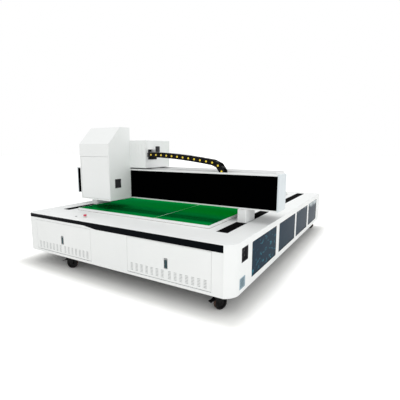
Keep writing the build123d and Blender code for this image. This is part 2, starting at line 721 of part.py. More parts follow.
# Gantry beam: rectangular tube that carries the head's rails
with BuildPart() as gantry_beam:
    with BuildSketch(Plane.YZ.offset(-BEAM_HALF)):
        rect(BEAM_FRONT, BEAM_REAR, BEAM_BOTTOM + BASE_SHEET, BEAM_TOP)
        offset(amount=-BEAM_WALL, mode=Mode.SUBTRACT)
    extrude(amount=2 * BEAM_HALF)
gantry_beam.part.label = "gantry_beam"
export_step(gantry_beam.part, "parts/gantry_beam.step")

# Path of the cable chain, as the places of its pins
droop_length = CHAIN_TOP_PITCHES * CHAIN_PITCH
lean = degrees(atan(CHAIN_DROOP * CHAIN_DROOP_POWER / droop_length))
pins = []
for i in range(CHAIN_TOP_PITCHES + 1):
    share = i / CHAIN_TOP_PITCHES
    droop = CHAIN_DROOP * share**CHAIN_DROOP_POWER
    pins.append((CHAIN_START_X + share * droop_length, CHAIN_START_Z - droop))
bend_x = pins[-1][0] - CHAIN_RADIUS * sin(radians(lean))
bend_z = pins[-1][1] - CHAIN_RADIUS * cos(radians(lean))
turn = 2 * degrees(asin(CHAIN_PITCH / 2 / CHAIN_RADIUS))
angle = 90 - lean
while angle - turn > -90:
    angle -= turn
    pins.append((bend_x + CHAIN_RADIUS * cos(radians(angle)), bend_z + CHAIN_RADIUS * sin(radians(angle))))
floor_z = bend_z - CHAIN_RADIUS
pins.append((pins[-1][0] - sqrt(CHAIN_PITCH**2 - (pins[-1][1] - floor_z) ** 2), floor_z))
for i in range(CHAIN_FLOOR_LINKS):
    pins.append((pins[-1][0] - CHAIN_PITCH, floor_z))
TRAY_TOP = floor_z - CHAIN_HIGH / 2 - CHAIN_PLAY
OUTER_HALF = CHAIN_WIDE / 2 - CHAIN_PLATE
INNER_HALF = OUTER_HALF - CHAIN_PLATE - CHAIN_PLAY

# White fascia: front wall with a lip, base sheet under the beam, and the chain's shelf and clamp
BASE_REAR = BEAM_REAR + 11
FIXED_CLAMP_X = (pins[-1][0] - 32, pins[-1][0] + 16)
with BuildPart() as gantry_fascia:
    wall = GANTRY_FRONT + PANEL_THICK
    with BuildSketch(Plane.YZ.offset(-BEAM_HALF)):
        rect(wall, wall + FASCIA_SHEET, BEAM_BOTTOM, FASCIA_TOP)
        rect(wall, wall + FASCIA_LIP, FASCIA_TOP - FASCIA_SHEET, FASCIA_TOP)
        rect(wall, BASE_REAR, BEAM_BOTTOM, BEAM_BOTTOM + BASE_SHEET)
        rect(wall, BEAM_FRONT, TRAY_TOP - FASCIA_SHEET, TRAY_TOP)
    extrude(amount=2 * BEAM_HALF)
    block(*FIXED_CLAMP_X, CHAIN_Y - INNER_HALF, CHAIN_Y + INNER_HALF, TRAY_TOP, floor_z + 20)
gantry_fascia.part.label = "gantry_fascia"
export_step(gantry_fascia.part, "parts/gantry_fascia.step")

# Black front panel
with BuildPart() as gantry_front_panel:
    block(-BEAM_HALF, BEAM_HALF, GANTRY_FRONT, GANTRY_FRONT + PANEL_THICK, *PANEL_Z)
gantry_front_panel.part.label = "gantry_front_panel"
export_step(gantry_front_panel.part, "parts/gantry_front_panel.step")

# End caps: shallow pans that close the beam
CAP_WALL = 6
CAP_ROUND = 5
for side, name in ((-1, "end_cap_left"), (1, "end_cap_right")):
    with BuildPart() as end_cap:
        with BuildSketch(Plane.YZ.offset(side * BEAM_HALF)):
            rect(GANTRY_FRONT, GANTRY_REAR, BEAM_BOTTOM, FASCIA_TOP)
        extrude(amount=side * (CAP_HALF - BEAM_HALF))
        fillet(end_cap.faces().sort_by(Axis.X)[-1 if side > 0 else 0].edges(), radius=CAP_ROUND)
        with BuildSketch(Plane.YZ.offset(side * BEAM_HALF)):
            rect(
                GANTRY_FRONT + CAP_WALL, GANTRY_REAR - CAP_WALL,
                BEAM_BOTTOM + CAP_WALL, FASCIA_TOP - CAP_WALL,
            )
        extrude(amount=side * (CAP_HALF - BEAM_HALF - CAP_WALL), mode=Mode.SUBTRACT)
    end_cap.part.label = name
    export_step(end_cap.part, f"parts/{name}.step")

# Legs: columns in the slots, on bearing shoes around the rail, with the motor coil beside
LEG_HALF = 48
LEG_ROUND = 8
FOOT_Z = 545
SHOE_WIDE = 46
SHOE_LONG = 66
SHOE_INSET = 40
SHOE_BOTTOM = GIRDER_TOP + 7
COIL_LONG = 220
COIL_BOTTOM = GIRDER_TOP + MAGNET_HIGH + 2
for side, name in ((-1, "leg_left"), (1, "leg_right")):
    with BuildPart() as leg:
        with BuildSketch(Plane.XY.offset(FOOT_Z)):
            rect(side * SLOT_X - LEG_HALF, side * SLOT_X + LEG_HALF, LEG_FRONT, LEG_REAR)
        extrude(amount=BEAM_BOTTOM - FOOT_Z)
        fillet(leg.edges().filter_by(Axis.Z), radius=LEG_ROUND)
        for y in (LEG_FRONT + SHOE_INSET, LEG_REAR - SHOE_INSET):
            with Locations((side * RAIL_X, y, (FOOT_Z + SHOE_BOTTOM) / 2)):
                Box(SHOE_WIDE, SHOE_LONG, FOOT_Z - SHOE_BOTTOM)
            with Locations((side * RAIL_X, y, GIRDER_TOP + RAIL_HIGH / 2)):
                Box(
                    RAIL_WIDE + 2 * RAIL_PLAY, SHOE_LONG + 4, RAIL_HIGH + 2 * RAIL_PLAY,
                    mode=Mode.SUBTRACT,
                )
        with Locations((side * MAGNET_X, (LEG_FRONT + LEG_REAR) / 2, (FOOT_Z + COIL_BOTTOM) / 2)):
            Box(MAGNET_WIDE, COIL_LONG, FOOT_Z - COIL_BOTTOM)
    leg.part.label = name
    export_step(leg.part, f"parts/{name}.step")

# Head rails and magnet track on the beam
with BuildPart() as x_rails:
    with BuildSketch(Plane.YZ.offset(-BEAM_HALF + X_RAIL_INSET)):
        for y in X_RAIL_Y:
            with Locations((y, BEAM_TOP + X_RAIL_HIGH / 2)):
                Rectangle(X_RAIL_WIDE, X_RAIL_HIGH)
                with GridLocations(X_RAIL_WIDE, 0, 2, 1):
                    Rectangle(*X_RAIL_GROOVE, rotation=45, mode=Mode.SUBTRACT)
    extrude(amount=2 * (BEAM_HALF - X_RAIL_INSET))
x_rails.part.label = "x_rails"
export_step(x_rails.part, "parts/x_rails.step")

with BuildPart() as x_magnet_track:
    block(
        -BEAM_HALF + X_RAIL_INSET, BEAM_HALF - X_RAIL_INSET, *X_MAGNET_Y,
        BEAM_TOP, BEAM_TOP + X_MAGNET_HIGH,
    )
x_magnet_track.part.label = "x_magnet_track"
export_step(x_magnet_track.part, "parts/x_magnet_track.step")

# Head carriage: plate with four bearing shoes, the motor coil and a neck to the tower
HEAD_SHOE_X = (-880, -275)
HEAD_SHOE_HALF = (35, 22)
HEAD_SHOE_BOTTOM = BEAM_TOP + 6
HEAD_COIL_X = (-700, -450)
HEAD_COIL_BOTTOM = BEAM_TOP + X_MAGNET_HIGH + 2
RAIL_REACH = X_RAIL_WIDE / 2 + RAIL_PLAY
with BuildPart() as head_carriage:
    block(*CARRIAGE_X, *CARRIAGE_Y, CARRIAGE_Z, CARRIAGE_Z + CARRIAGE_THICK)
    block(*NECK_X, TOWER_REAR, CARRIAGE_Y[0], CARRIAGE_Z, CARRIAGE_Z + CARRIAGE_THICK)
    for x in HEAD_SHOE_X:
        for y in X_RAIL_Y:
            block(
                x - HEAD_SHOE_HALF[0], x + HEAD_SHOE_HALF[0],
                y - HEAD_SHOE_HALF[1], y + HEAD_SHOE_HALF[1], HEAD_SHOE_BOTTOM, CARRIAGE_Z,
            )
            block(
                x - HEAD_SHOE_HALF[0] - 1, x + HEAD_SHOE_HALF[0] + 1, y - RAIL_REACH, y + RAIL_REACH,
                BEAM_TOP, BEAM_TOP + X_RAIL_HIGH + RAIL_PLAY, mode=Mode.SUBTRACT,
            )
    block(*HEAD_COIL_X, *X_MAGNET_Y, HEAD_COIL_BOTTOM, CARRIAGE_Z)
head_carriage.part.label = "head_carriage"
export_step(head_carriage.part, "parts/head_carriage.step")

# Tower: folded housing with a sloped roof, open at the door, the neck and the lens
TOWER_MID = sum(TOWER_X) / 2
LENS_Y = FRONT + 690
TOWER_PIN_X = TOWER_DOOR_X[0] + TOWER_DOOR_THICK / 2
TOWER_PIN_Y = TOWER_FRONT + TOWER_DOOR_THICK / 2
LATCH_CUP_Y = (FRONT + 588, FRONT + 690)
LATCH_CUP_Z = (914, 1024)
CUP_LAP = 8
LENS_OPENING_HALF = 110
SHELF_DEEP = 20
SHELF_THICK = 4
GUIDE_X = (TOWER_MID - 60, TOWER_MID + 60)
GUIDE_HALF = 8
GUIDE_DEEP = 16
GUIDE_Z = (800, 1200)
GUIDE_FRONT = TOWER_REAR - TOWER_WALL - GUIDE_DEEP
DOOR_HOLE_X = (TOWER_DOOR_X[0] - TOWER_DOOR_SEAM, TOWER_DOOR_X[1] + TOWER_DOOR_SEAM)
DOOR_HOLE_Z = (TOWER_DOOR_Z[0] - TOWER_DOOR_SEAM, TOWER_DOOR_Z[1] + TOWER_DOOR_SEAM)
PIN_ROOT = 4
PIN_IN = TOWER_PIN_LONG - 2
with BuildPart() as tower_shell:
    with BuildSketch(Plane.YZ.offset(TOWER_X[0])):
        with BuildLine():
            Polyline(
                (TOWER_FRONT, TOWER_BOTTOM), (TOWER_FRONT, ROOF_LOW), (ROOF_Y, ROOF_HIGH),
                (TOWER_REAR, ROOF_HIGH), (TOWER_REAR, TOWER_BOTTOM), close=True,
            )
        make_face()
    extrude(amount=TOWER_X[1] - TOWER_X[0])
    offset(amount=-TOWER_WALL, mode=Mode.SUBTRACT)
    block(
        *DOOR_HOLE_X, TOWER_FRONT, TOWER_FRONT + TOWER_WALL, *DOOR_HOLE_Z, mode=Mode.SUBTRACT,
    )
    for z0 in (DOOR_HOLE_Z[0] - SHELF_THICK, DOOR_HOLE_Z[1]):
        block(*DOOR_HOLE_X, TOWER_FRONT, TOWER_FRONT + SHELF_DEEP, z0, z0 + SHELF_THICK)
    for z0 in (TOWER_DOOR_Z[0] - PIN_ROOT, TOWER_DOOR_Z[1] - PIN_IN):
        with BuildSketch(Plane.XY.offset(z0)):
            with Locations((TOWER_PIN_X, TOWER_PIN_Y)):
                Circle(TOWER_PIN_R)
        extrude(amount=PIN_ROOT + PIN_IN)
    block(
        TOWER_MID - LENS_OPENING_HALF, TOWER_MID + LENS_OPENING_HALF,
        LENS_Y - LENS_OPENING_HALF, LENS_Y + LENS_OPENING_HALF,
        TOWER_BOTTOM, TOWER_BOTTOM + TOWER_WALL, mode=Mode.SUBTRACT,
    )
    block(
        TOWER_X[1] - TOWER_WALL, TOWER_X[1], LATCH_CUP_Y[0] + CUP_LAP, LATCH_CUP_Y[1] - CUP_LAP,
        LATCH_CUP_Z[0] + CUP_LAP, LATCH_CUP_Z[1] - CUP_LAP, mode=Mode.SUBTRACT,
    )
    for x in GUIDE_X:
        block(x - GUIDE_HALF, x + GUIDE_HALF, GUIDE_FRONT, TOWER_REAR - TOWER_WALL, *GUIDE_Z)
tower_shell.part.label = "tower_shell"
export_step(tower_shell.part, "parts/tower_shell.step")

# Tower door: folded tray that turns about pins at its rounded left edge
DOOR_SHEET = 3
with BuildPart() as tower_door:
    with BuildSketch(Plane.XY.offset(TOWER_DOOR_Z[0])):
        rect(TOWER_PIN_X, TOWER_DOOR_X[1], TOWER_FRONT, TOWER_FRONT + TOWER_DOOR_THICK)
        with Locations((TOWER_PIN_X, TOWER_PIN_Y)):
            Circle(TOWER_DOOR_THICK / 2)
    extrude(amount=TOWER_DOOR_Z[1] - TOWER_DOOR_Z[0])
    block(
        TOWER_PIN_X + TOWER_DOOR_THICK, TOWER_DOOR_X[1] - DOOR_SHEET,
        TOWER_FRONT + DOOR_SHEET, TOWER_FRONT + TOWER_DOOR_THICK,
        TOWER_DOOR_Z[0] + DOOR_SHEET, TOWER_DOOR_Z[1] - DOOR_SHEET, mode=Mode.SUBTRACT,
    )
    for z0 in (TOWER_DOOR_Z[0], TOWER_DOOR_Z[1] - TOWER_PIN_LONG):
        with BuildSketch(Plane.XY.offset(z0)):
            with Locations((TOWER_PIN_X, TOWER_PIN_Y)):
                Circle(TOWER_PIN_R + RUNNING)
        extrude(amount=TOWER_PIN_LONG, mode=Mode.SUBTRACT)
tower_door.part.label = "tower_door"
export_step(tower_door.part, "parts/tower_door.step")

# Black cup pull in the tower's right side
CUP_WALL = 3
CUP_DEEP = 16
CUP_INSIDE = CUP_LAP + CUP_WALL
with BuildPart() as cup_pull:
    x = TOWER_X[1]
    block(x, x + CUP_WALL, *LATCH_CUP_Y, *LATCH_CUP_Z)
    block(
        x - CUP_DEEP, x, LATCH_CUP_Y[0] + CUP_LAP, LATCH_CUP_Y[1] - CUP_LAP,
        LATCH_CUP_Z[0] + CUP_LAP, LATCH_CUP_Z[1] - CUP_LAP,
    )
    block(
        x - CUP_DEEP + CUP_WALL, x + CUP_WALL,
        LATCH_CUP_Y[0] + CUP_INSIDE, LATCH_CUP_Y[1] - CUP_INSIDE,
        LATCH_CUP_Z[0] + CUP_INSIDE, LATCH_CUP_Z[1] - CUP_INSIDE, mode=Mode.SUBTRACT,
    )
cup_pull.part.label = "cup_pull"
export_step(cup_pull.part, "parts/cup_pull.step")

# Rear housing over the head carriage, open below, with three vents in its front
VENTS_X = (-358, -306, -254)
VENT_HALF = 5
VENT_Z = (1290, 1450)
HOUSING_REAR = GANTRY_REAR - 4
HOUSING_ROUND = 6
NECK_PLAY = 5
with BuildPart() as rear_housing:
    block(TOWER_X[0], HOUSING_RIGHT, TOWER_REAR, HOUSING_REAR, HOUSING_BOTTOM, HOUSING_TOP)
    fillet(rear_housing.faces().sort_by(Axis.Z)[-1].edges(), radius=HOUSING_ROUND)
    block(
        TOWER_X[0] + HOUSING_SHEET, HOUSING_RIGHT - HOUSING_SHEET,
        TOWER_REAR + HOUSING_SHEET, HOUSING_REAR - HOUSING_SHEET,
        HOUSING_BOTTOM, HOUSING_TOP - HOUSING_SHEET, mode=Mode.SUBTRACT,
    )
    block(
        NECK_X[0] - NECK_PLAY, NECK_X[1] + NECK_PLAY, TOWER_REAR, TOWER_REAR + HOUSING_SHEET,
        HOUSING_BOTTOM, CARRIAGE_Z + CARRIAGE_THICK + NECK_PLAY, mode=Mode.SUBTRACT,
    )
    for x in VENTS_X:
        block(
            x - VENT_HALF, x + VENT_HALF, TOWER_REAR, TOWER_REAR + HOUSING_SHEET, *VENT_Z,
            mode=Mode.SUBTRACT,
        )
rear_housing.part.label = "rear_housing"
export_step(rear_housing.part, "parts/rear_housing.step")

# Channel bracket and clamp that hold the chain's moving end, with the strip along its top
CHAIN_BACK = CHAIN_Y + CHAIN_WIDE / 2
CHAIN_TOP = CHAIN_START_Z + CHAIN_HIGH / 2
CHANNEL_X = (HOUSING_RIGHT, -113)
CHANNEL_Y = (CHAIN_BACK - 66, CHAIN_BACK + 5)
CHANNEL_Z = (1260, 1386)
STRIP_Z = (CHAIN_TOP + 1, CHAIN_TOP + 5)
MOVING_CLAMP_HALF = 25
with BuildPart() as chain_bracket:
    block(HOUSING_RIGHT, HOUSING_RIGHT + SHEET, *CHANNEL_Y, *CHANNEL_Z)
    block(*CHANNEL_X, CHANNEL_Y[1] - SHEET, CHANNEL_Y[1], *CHANNEL_Z)
    for z in (CHANNEL_Z[0], CHANNEL_Z[1] - SHEET):
        block(*CHANNEL_X, *CHANNEL_Y, z, z + SHEET)
    block(HOUSING_RIGHT, 15, CHAIN_BACK - 38, CHANNEL_Y[1], *STRIP_Z)
    block(
        HOUSING_RIGHT + SHEET, CHAIN_START_X + 14, CHAIN_Y - OUTER_HALF, CHAIN_Y + OUTER_HALF,
        CHAIN_START_Z - MOVING_CLAMP_HALF, CHAIN_START_Z + MOVING_CLAMP_HALF,
    )
chain_bracket.part.label = "chain_bracket"
export_step(chain_bracket.part, "parts/chain_bracket.step")

# Black terminal block on the strip
with BuildPart() as terminal_block:
    block(-55, 12, CHAIN_BACK - 60, CHAIN_BACK, STRIP_Z[1], 1425)
    chamfer(terminal_block.faces().sort_by(Axis.Z)[-1].edges(), 4)
terminal_block.part.label = "terminal_block"
export_step(terminal_block.part, "parts/terminal_block.step")

# Cable chain: every link has two side plates and two cross bars, and the plates of
# neighbouring links lie inside and outside each other
BAR_LONG = 30
BAR_THICK = 5
BAR_SPREAD = CHAIN_HIGH - 8
with BuildPart() as cable_chain:
    for i in range(len(pins) - 1):
        (x0, z0), (x1, z1) = pins[i], pins[i + 1]
        along = ((x1 - x0) / CHAIN_PITCH, 0, (z1 - z0) / CHAIN_PITCH)
        reach = CHAIN_WIDE / 2 - (CHAIN_PLATE + CHAIN_PLAY) * (i % 2)
        middle = ((x0 + x1) / 2, CHAIN_Y - reach, (z0 + z1) / 2)
        link_plane = Plane(origin=middle, x_dir=along, z_dir=(0, 1, 0))
        with BuildSketch(link_plane, link_plane.offset(2 * reach - CHAIN_PLATE)):
            SlotCenterToCenter(CHAIN_PITCH, CHAIN_HIGH)
        extrude(amount=CHAIN_PLATE)
        with BuildSketch(link_plane.offset(CHAIN_PLATE)):
            with GridLocations(0, BAR_SPREAD, 1, 2):
                Rectangle(BAR_LONG, BAR_THICK)
        extrude(amount=2 * reach - 2 * CHAIN_PLATE)
cable_chain.part.label = "cable_chain"
export_step(cable_chain.part, "parts/cable_chain.step")

# Laser source on the tower's back wall
LASER_INSET = 60
LASER_LONG = 200
LASER_Z = (1260, 1430)
LASER_BEVEL = 8
with BuildPart() as laser_source:
    block(
        TOWER_X[0] + LASER_INSET, TOWER_X[1] - LASER_INSET,
        TOWER_REAR - LASER_LONG, TOWER_REAR - TOWER_WALL, *LASER_Z,
    )
    chamfer(laser_source.edges().filter_by(Axis.Z), LASER_BEVEL)
laser_source.part.label = "laser_source"
export_step(laser_source.part, "parts/laser_source.step")

# Scan head on the two short guides, and its field lens below
SCAN_BOTTOM = 900
SCAN_PLATE_HALF = 90
SCAN_PLATE_FRONT = GUIDE_FRONT - 24
SCAN_PLATE_TOP = 1120
SCAN_BODY_HALF = 75
SCAN_BODY_TOP = 1050
SLIDER_HALF = 20
SLIDER_HIGH = 40
SLIDER_Z = (920, 1070)
SLIDER_GRIP = 10
GUIDE_REACH = GUIDE_HALF + RAIL_PLAY
with BuildPart() as scan_head:
    block(
        TOWER_MID - SCAN_PLATE_HALF, TOWER_MID + SCAN_PLATE_HALF,
        SCAN_PLATE_FRONT, GUIDE_FRONT - RAIL_PLAY, SCAN_BOTTOM, SCAN_PLATE_TOP,
    )
    for x in GUIDE_X:
        for z in SLIDER_Z:
            for x0, x1 in ((x - SLIDER_HALF, x - GUIDE_REACH), (x + GUIDE_REACH, x + SLIDER_HALF)):
                block(
                    x0, x1, GUIDE_FRONT - RAIL_PLAY, GUIDE_FRONT + SLIDER_GRIP, z, z + SLIDER_HIGH,
                )
    block(
        TOWER_MID - SCAN_BODY_HALF, TOWER_MID + SCAN_BODY_HALF,
        LENS_Y - 80, SCAN_PLATE_FRONT, SCAN_BOTTOM, SCAN_BODY_TOP,
    )
scan_head.part.label = "scan_head"
export_step(scan_head.part, "parts/scan_head.step")

with BuildPart() as scan_lens:
    with BuildSketch(Plane(origin=(TOWER_MID, LENS_Y, 0), x_dir=(1, 0, 0), z_dir=(0, -1, 0))):
        with BuildLine():
            Polyline(
                (0, 806), (36, 806), (36, 800), (48, 800), (48, 840), (56, 846), (56, 870),
                (44, 880), (44, SCAN_BOTTOM), (0, SCAN_BOTTOM), close=True,
            )
        make_face()
    revolve(axis=Axis(origin=(TOWER_MID, LENS_Y, 0), direction=(0, 0, 1)))
scan_lens.part.label = "scan_lens"
export_step(scan_lens.part, "parts/scan_lens.step")
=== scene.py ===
"""Finishes, soft edges, chain, bellows, lights and camera of a glass laser engraving machine.

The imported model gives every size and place. Each sub-assembly is a class that builds its own
pieces around the nodes of the model and dresses the nodes that stay.
"""

import json
import logging
import math
from dataclasses import dataclass, field
from enum import Enum
from typing import Callable, Iterable, Sequence

import bmesh
import bpy
from mathutils import Matrix, Vector

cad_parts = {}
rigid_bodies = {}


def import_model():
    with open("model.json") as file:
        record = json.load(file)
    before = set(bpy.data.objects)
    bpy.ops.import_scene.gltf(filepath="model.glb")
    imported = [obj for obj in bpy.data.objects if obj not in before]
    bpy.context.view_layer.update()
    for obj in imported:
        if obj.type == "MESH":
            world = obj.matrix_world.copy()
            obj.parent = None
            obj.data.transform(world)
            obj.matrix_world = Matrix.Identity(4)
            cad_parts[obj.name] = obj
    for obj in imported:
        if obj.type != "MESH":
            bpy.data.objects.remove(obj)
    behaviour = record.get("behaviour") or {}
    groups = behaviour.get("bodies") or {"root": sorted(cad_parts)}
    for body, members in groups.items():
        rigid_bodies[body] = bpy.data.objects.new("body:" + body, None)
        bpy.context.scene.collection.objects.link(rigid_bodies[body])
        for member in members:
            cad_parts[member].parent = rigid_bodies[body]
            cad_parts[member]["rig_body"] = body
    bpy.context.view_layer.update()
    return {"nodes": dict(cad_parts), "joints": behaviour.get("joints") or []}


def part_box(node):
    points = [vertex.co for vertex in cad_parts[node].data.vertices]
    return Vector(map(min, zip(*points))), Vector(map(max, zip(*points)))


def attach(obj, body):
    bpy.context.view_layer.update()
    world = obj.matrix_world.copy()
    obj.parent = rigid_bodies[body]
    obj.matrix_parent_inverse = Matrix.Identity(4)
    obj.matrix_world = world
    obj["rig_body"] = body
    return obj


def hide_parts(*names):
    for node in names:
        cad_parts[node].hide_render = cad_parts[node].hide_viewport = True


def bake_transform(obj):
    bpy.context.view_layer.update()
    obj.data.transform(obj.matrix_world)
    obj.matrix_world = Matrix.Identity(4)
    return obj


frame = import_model()

log = logging.getLogger("machine")
logging.basicConfig(level=logging.INFO, format="%(message)s")

Colour = tuple[float, float, float]
Point = tuple[float, float, float]

MM = 0.001
COAT_ROUGHNESS = 0.06


class Hand(Enum):
    """The two sides of the machine, seen from the front."""

    LEFT = -1
    RIGHT = 1

    @property
    def word(self) -> str:
        """The side's name as the nodes spell it."""
        return self.name.lower()


class Tree:
    """A node tree that is wired by short calls."""

    def __init__(self, tree: bpy.types.NodeTree) -> None:
        """Keeps the tree."""
        self.tree = tree

    def ends(self) -> "Tree":
        """Adds the nodes of a group's own inputs and outputs.

        Returns:
            This tree, with their sockets as taken and given.
        """
        self.taken = self.node("NodeGroupInput").outputs
        self.given = self.node("NodeGroupOutput").inputs
        return self

    def node(self, kind: str, **settings: object) -> bpy.types.Node:
        """Adds a node.

        Args:
            kind: the node's type name.
            settings: its own options, such as operation.

        Returns:
            The new node.
        """
        made = self.tree.nodes.new(kind)
        for name, value in settings.items():
            setattr(made, name, value)
        return made

    def link(self, source: bpy.types.NodeSocket, target: bpy.types.NodeSocket) -> None:
        """Joins an output to an input."""
        self.tree.links.new(source, target)

    def feed(self, target: bpy.types.NodeSocket, value: object) -> None:
        """Sets an input to a plain value, or links it to a socket.

        Args:
            target: the input socket.
            value: a plain value or a socket.
        """
        if isinstance(value, bpy.types.NodeSocket):
            self.link(value, target)
        else:
            target.default_value = value

    def fed(self, kind: str, values: dict[str, object], **settings: object) -> bpy.types.Node:
        """Adds a node and feeds its inputs.

        Args:
            kind: the node's type name.
            values: for each input's name its value or socket.
            settings: the node's own options.

        Returns:
            The new node.
        """
        made = self.node(kind, **settings)
        for label, value in values.items():
            self.feed(made.inputs[label], value)
        return made

    def maths(self, operation: str, *values: object) -> bpy.types.NodeSocket:
        """Adds a Math node.

        Args:
            operation: the node's operation.
            values: numbers or sockets, in the order of its inputs.

        Returns:
            The result socket.
        """
        made = self.node("ShaderNodeMath", operation=operation)
        for place, value in enumerate(values):
            self.feed(made.inputs[place], value)
        return made.outputs[0]

    def coords(self) -> bpy.types.NodeSocket:
        """The place on the object, as a vector."""
        return self.node("ShaderNodeTexCoord").outputs["Object"]

    def axes(self, vector: bpy.types.NodeSocket | None = None) -> bpy.types.NodeOutputs:
        """The parts of a vector, or of the place on the object, by their letters."""
        source = self.coords() if vector is None else vector
        return self.fed("ShaderNodeSeparateXYZ", {"Vector": source}).outputs

    def stretched(self, by: object) -> bpy.types.NodeSocket:
        """The place on the object, stretched by a vector.

        Args:
            by: the stretch along each axis.

        Returns:
            The vector socket.
        """
        made = self.node("ShaderNodeVectorMath", operation="MULTIPLY")
        self.link(self.coords(), made.inputs[0])
        self.feed(made.inputs[1], by)
        return made.outputs["Vector"]

    def noise(self, scale: object, vector: bpy.types.NodeSocket | None = None, detail: float = 2.0,
              distortion: float = 0.0) -> bpy.types.NodeSocket:
        """Adds noise.

        Args:
            scale: its scale.
            vector: its coordinates, or nothing for the place on the object.
            detail: its octaves.
            distortion: how much it wavers.

        Returns:
            The noise's value socket.
        """
        source = self.coords() if vector is None else vector
        return self.fed("ShaderNodeTexNoise", {
            "Vector": source, "Scale": scale, "Detail": detail, "Distortion": distortion}).outputs["Fac"]

    def ramp(self, value: bpy.types.NodeSocket, low: object, high: object, to_low: object = 0.0,
             to_high: object = 1.0, smooth: bool = False) -> bpy.types.NodeSocket:
        """Maps a value from one range to another and holds it at the ends.

        Args:
            value: the socket to map.
            low: where the range starts.
            high: where it ends.
            to_low: the result at its start.
            to_high: the result at its end.
            smooth: whether it eases in and out.

        Returns:
            The result socket.
        """
        return self.fed(
            "ShaderNodeMapRange",
            {"Value": value, "From Min": low, "From Max": high, "To Min": to_low, "To Max": to_high},
            interpolation_type="SMOOTHSTEP" if smooth else "LINEAR").outputs["Result"]

    def mix(self, share: object, first: object, second: object) -> bpy.types.NodeSocket:
        """Mixes two colours by a share."""
        return self.fed(
            "ShaderNodeMix", {"Factor": share, "A": first, "B": second}, data_type="RGBA").outputs["Result"]


FLOAT = "NodeSocketFloat"
COLOUR = "NodeSocketColor"
VECTOR = "NodeSocketVector"
GEOMETRY = "NodeSocketGeometry"
MATERIAL = "NodeSocketMaterial"
WHITE4 = (1.0, 1.0, 1.0, 1.0)


def new_group(name: str, inputs: dict[str, tuple[str, object]], outputs: dict[str, str]) -> Tree:
    """Makes an empty shader group with named sockets.

    Args:
        name: the group's name.
        inputs: for each input its socket type and default.
        outputs: for each output its socket type.

    Returns:
        The group's tree.
    """
    tree = bpy.data.node_groups.new(name, "ShaderNodeTree")
    for label, (kind, default) in inputs.items():
        tree.interface.new_socket(label, in_out="INPUT", socket_type=kind).default_value = default
    for label, kind in outputs.items():
        tree.interface.new_socket(label, in_out="OUTPUT", socket_type=kind)
    return Tree(tree).ends()


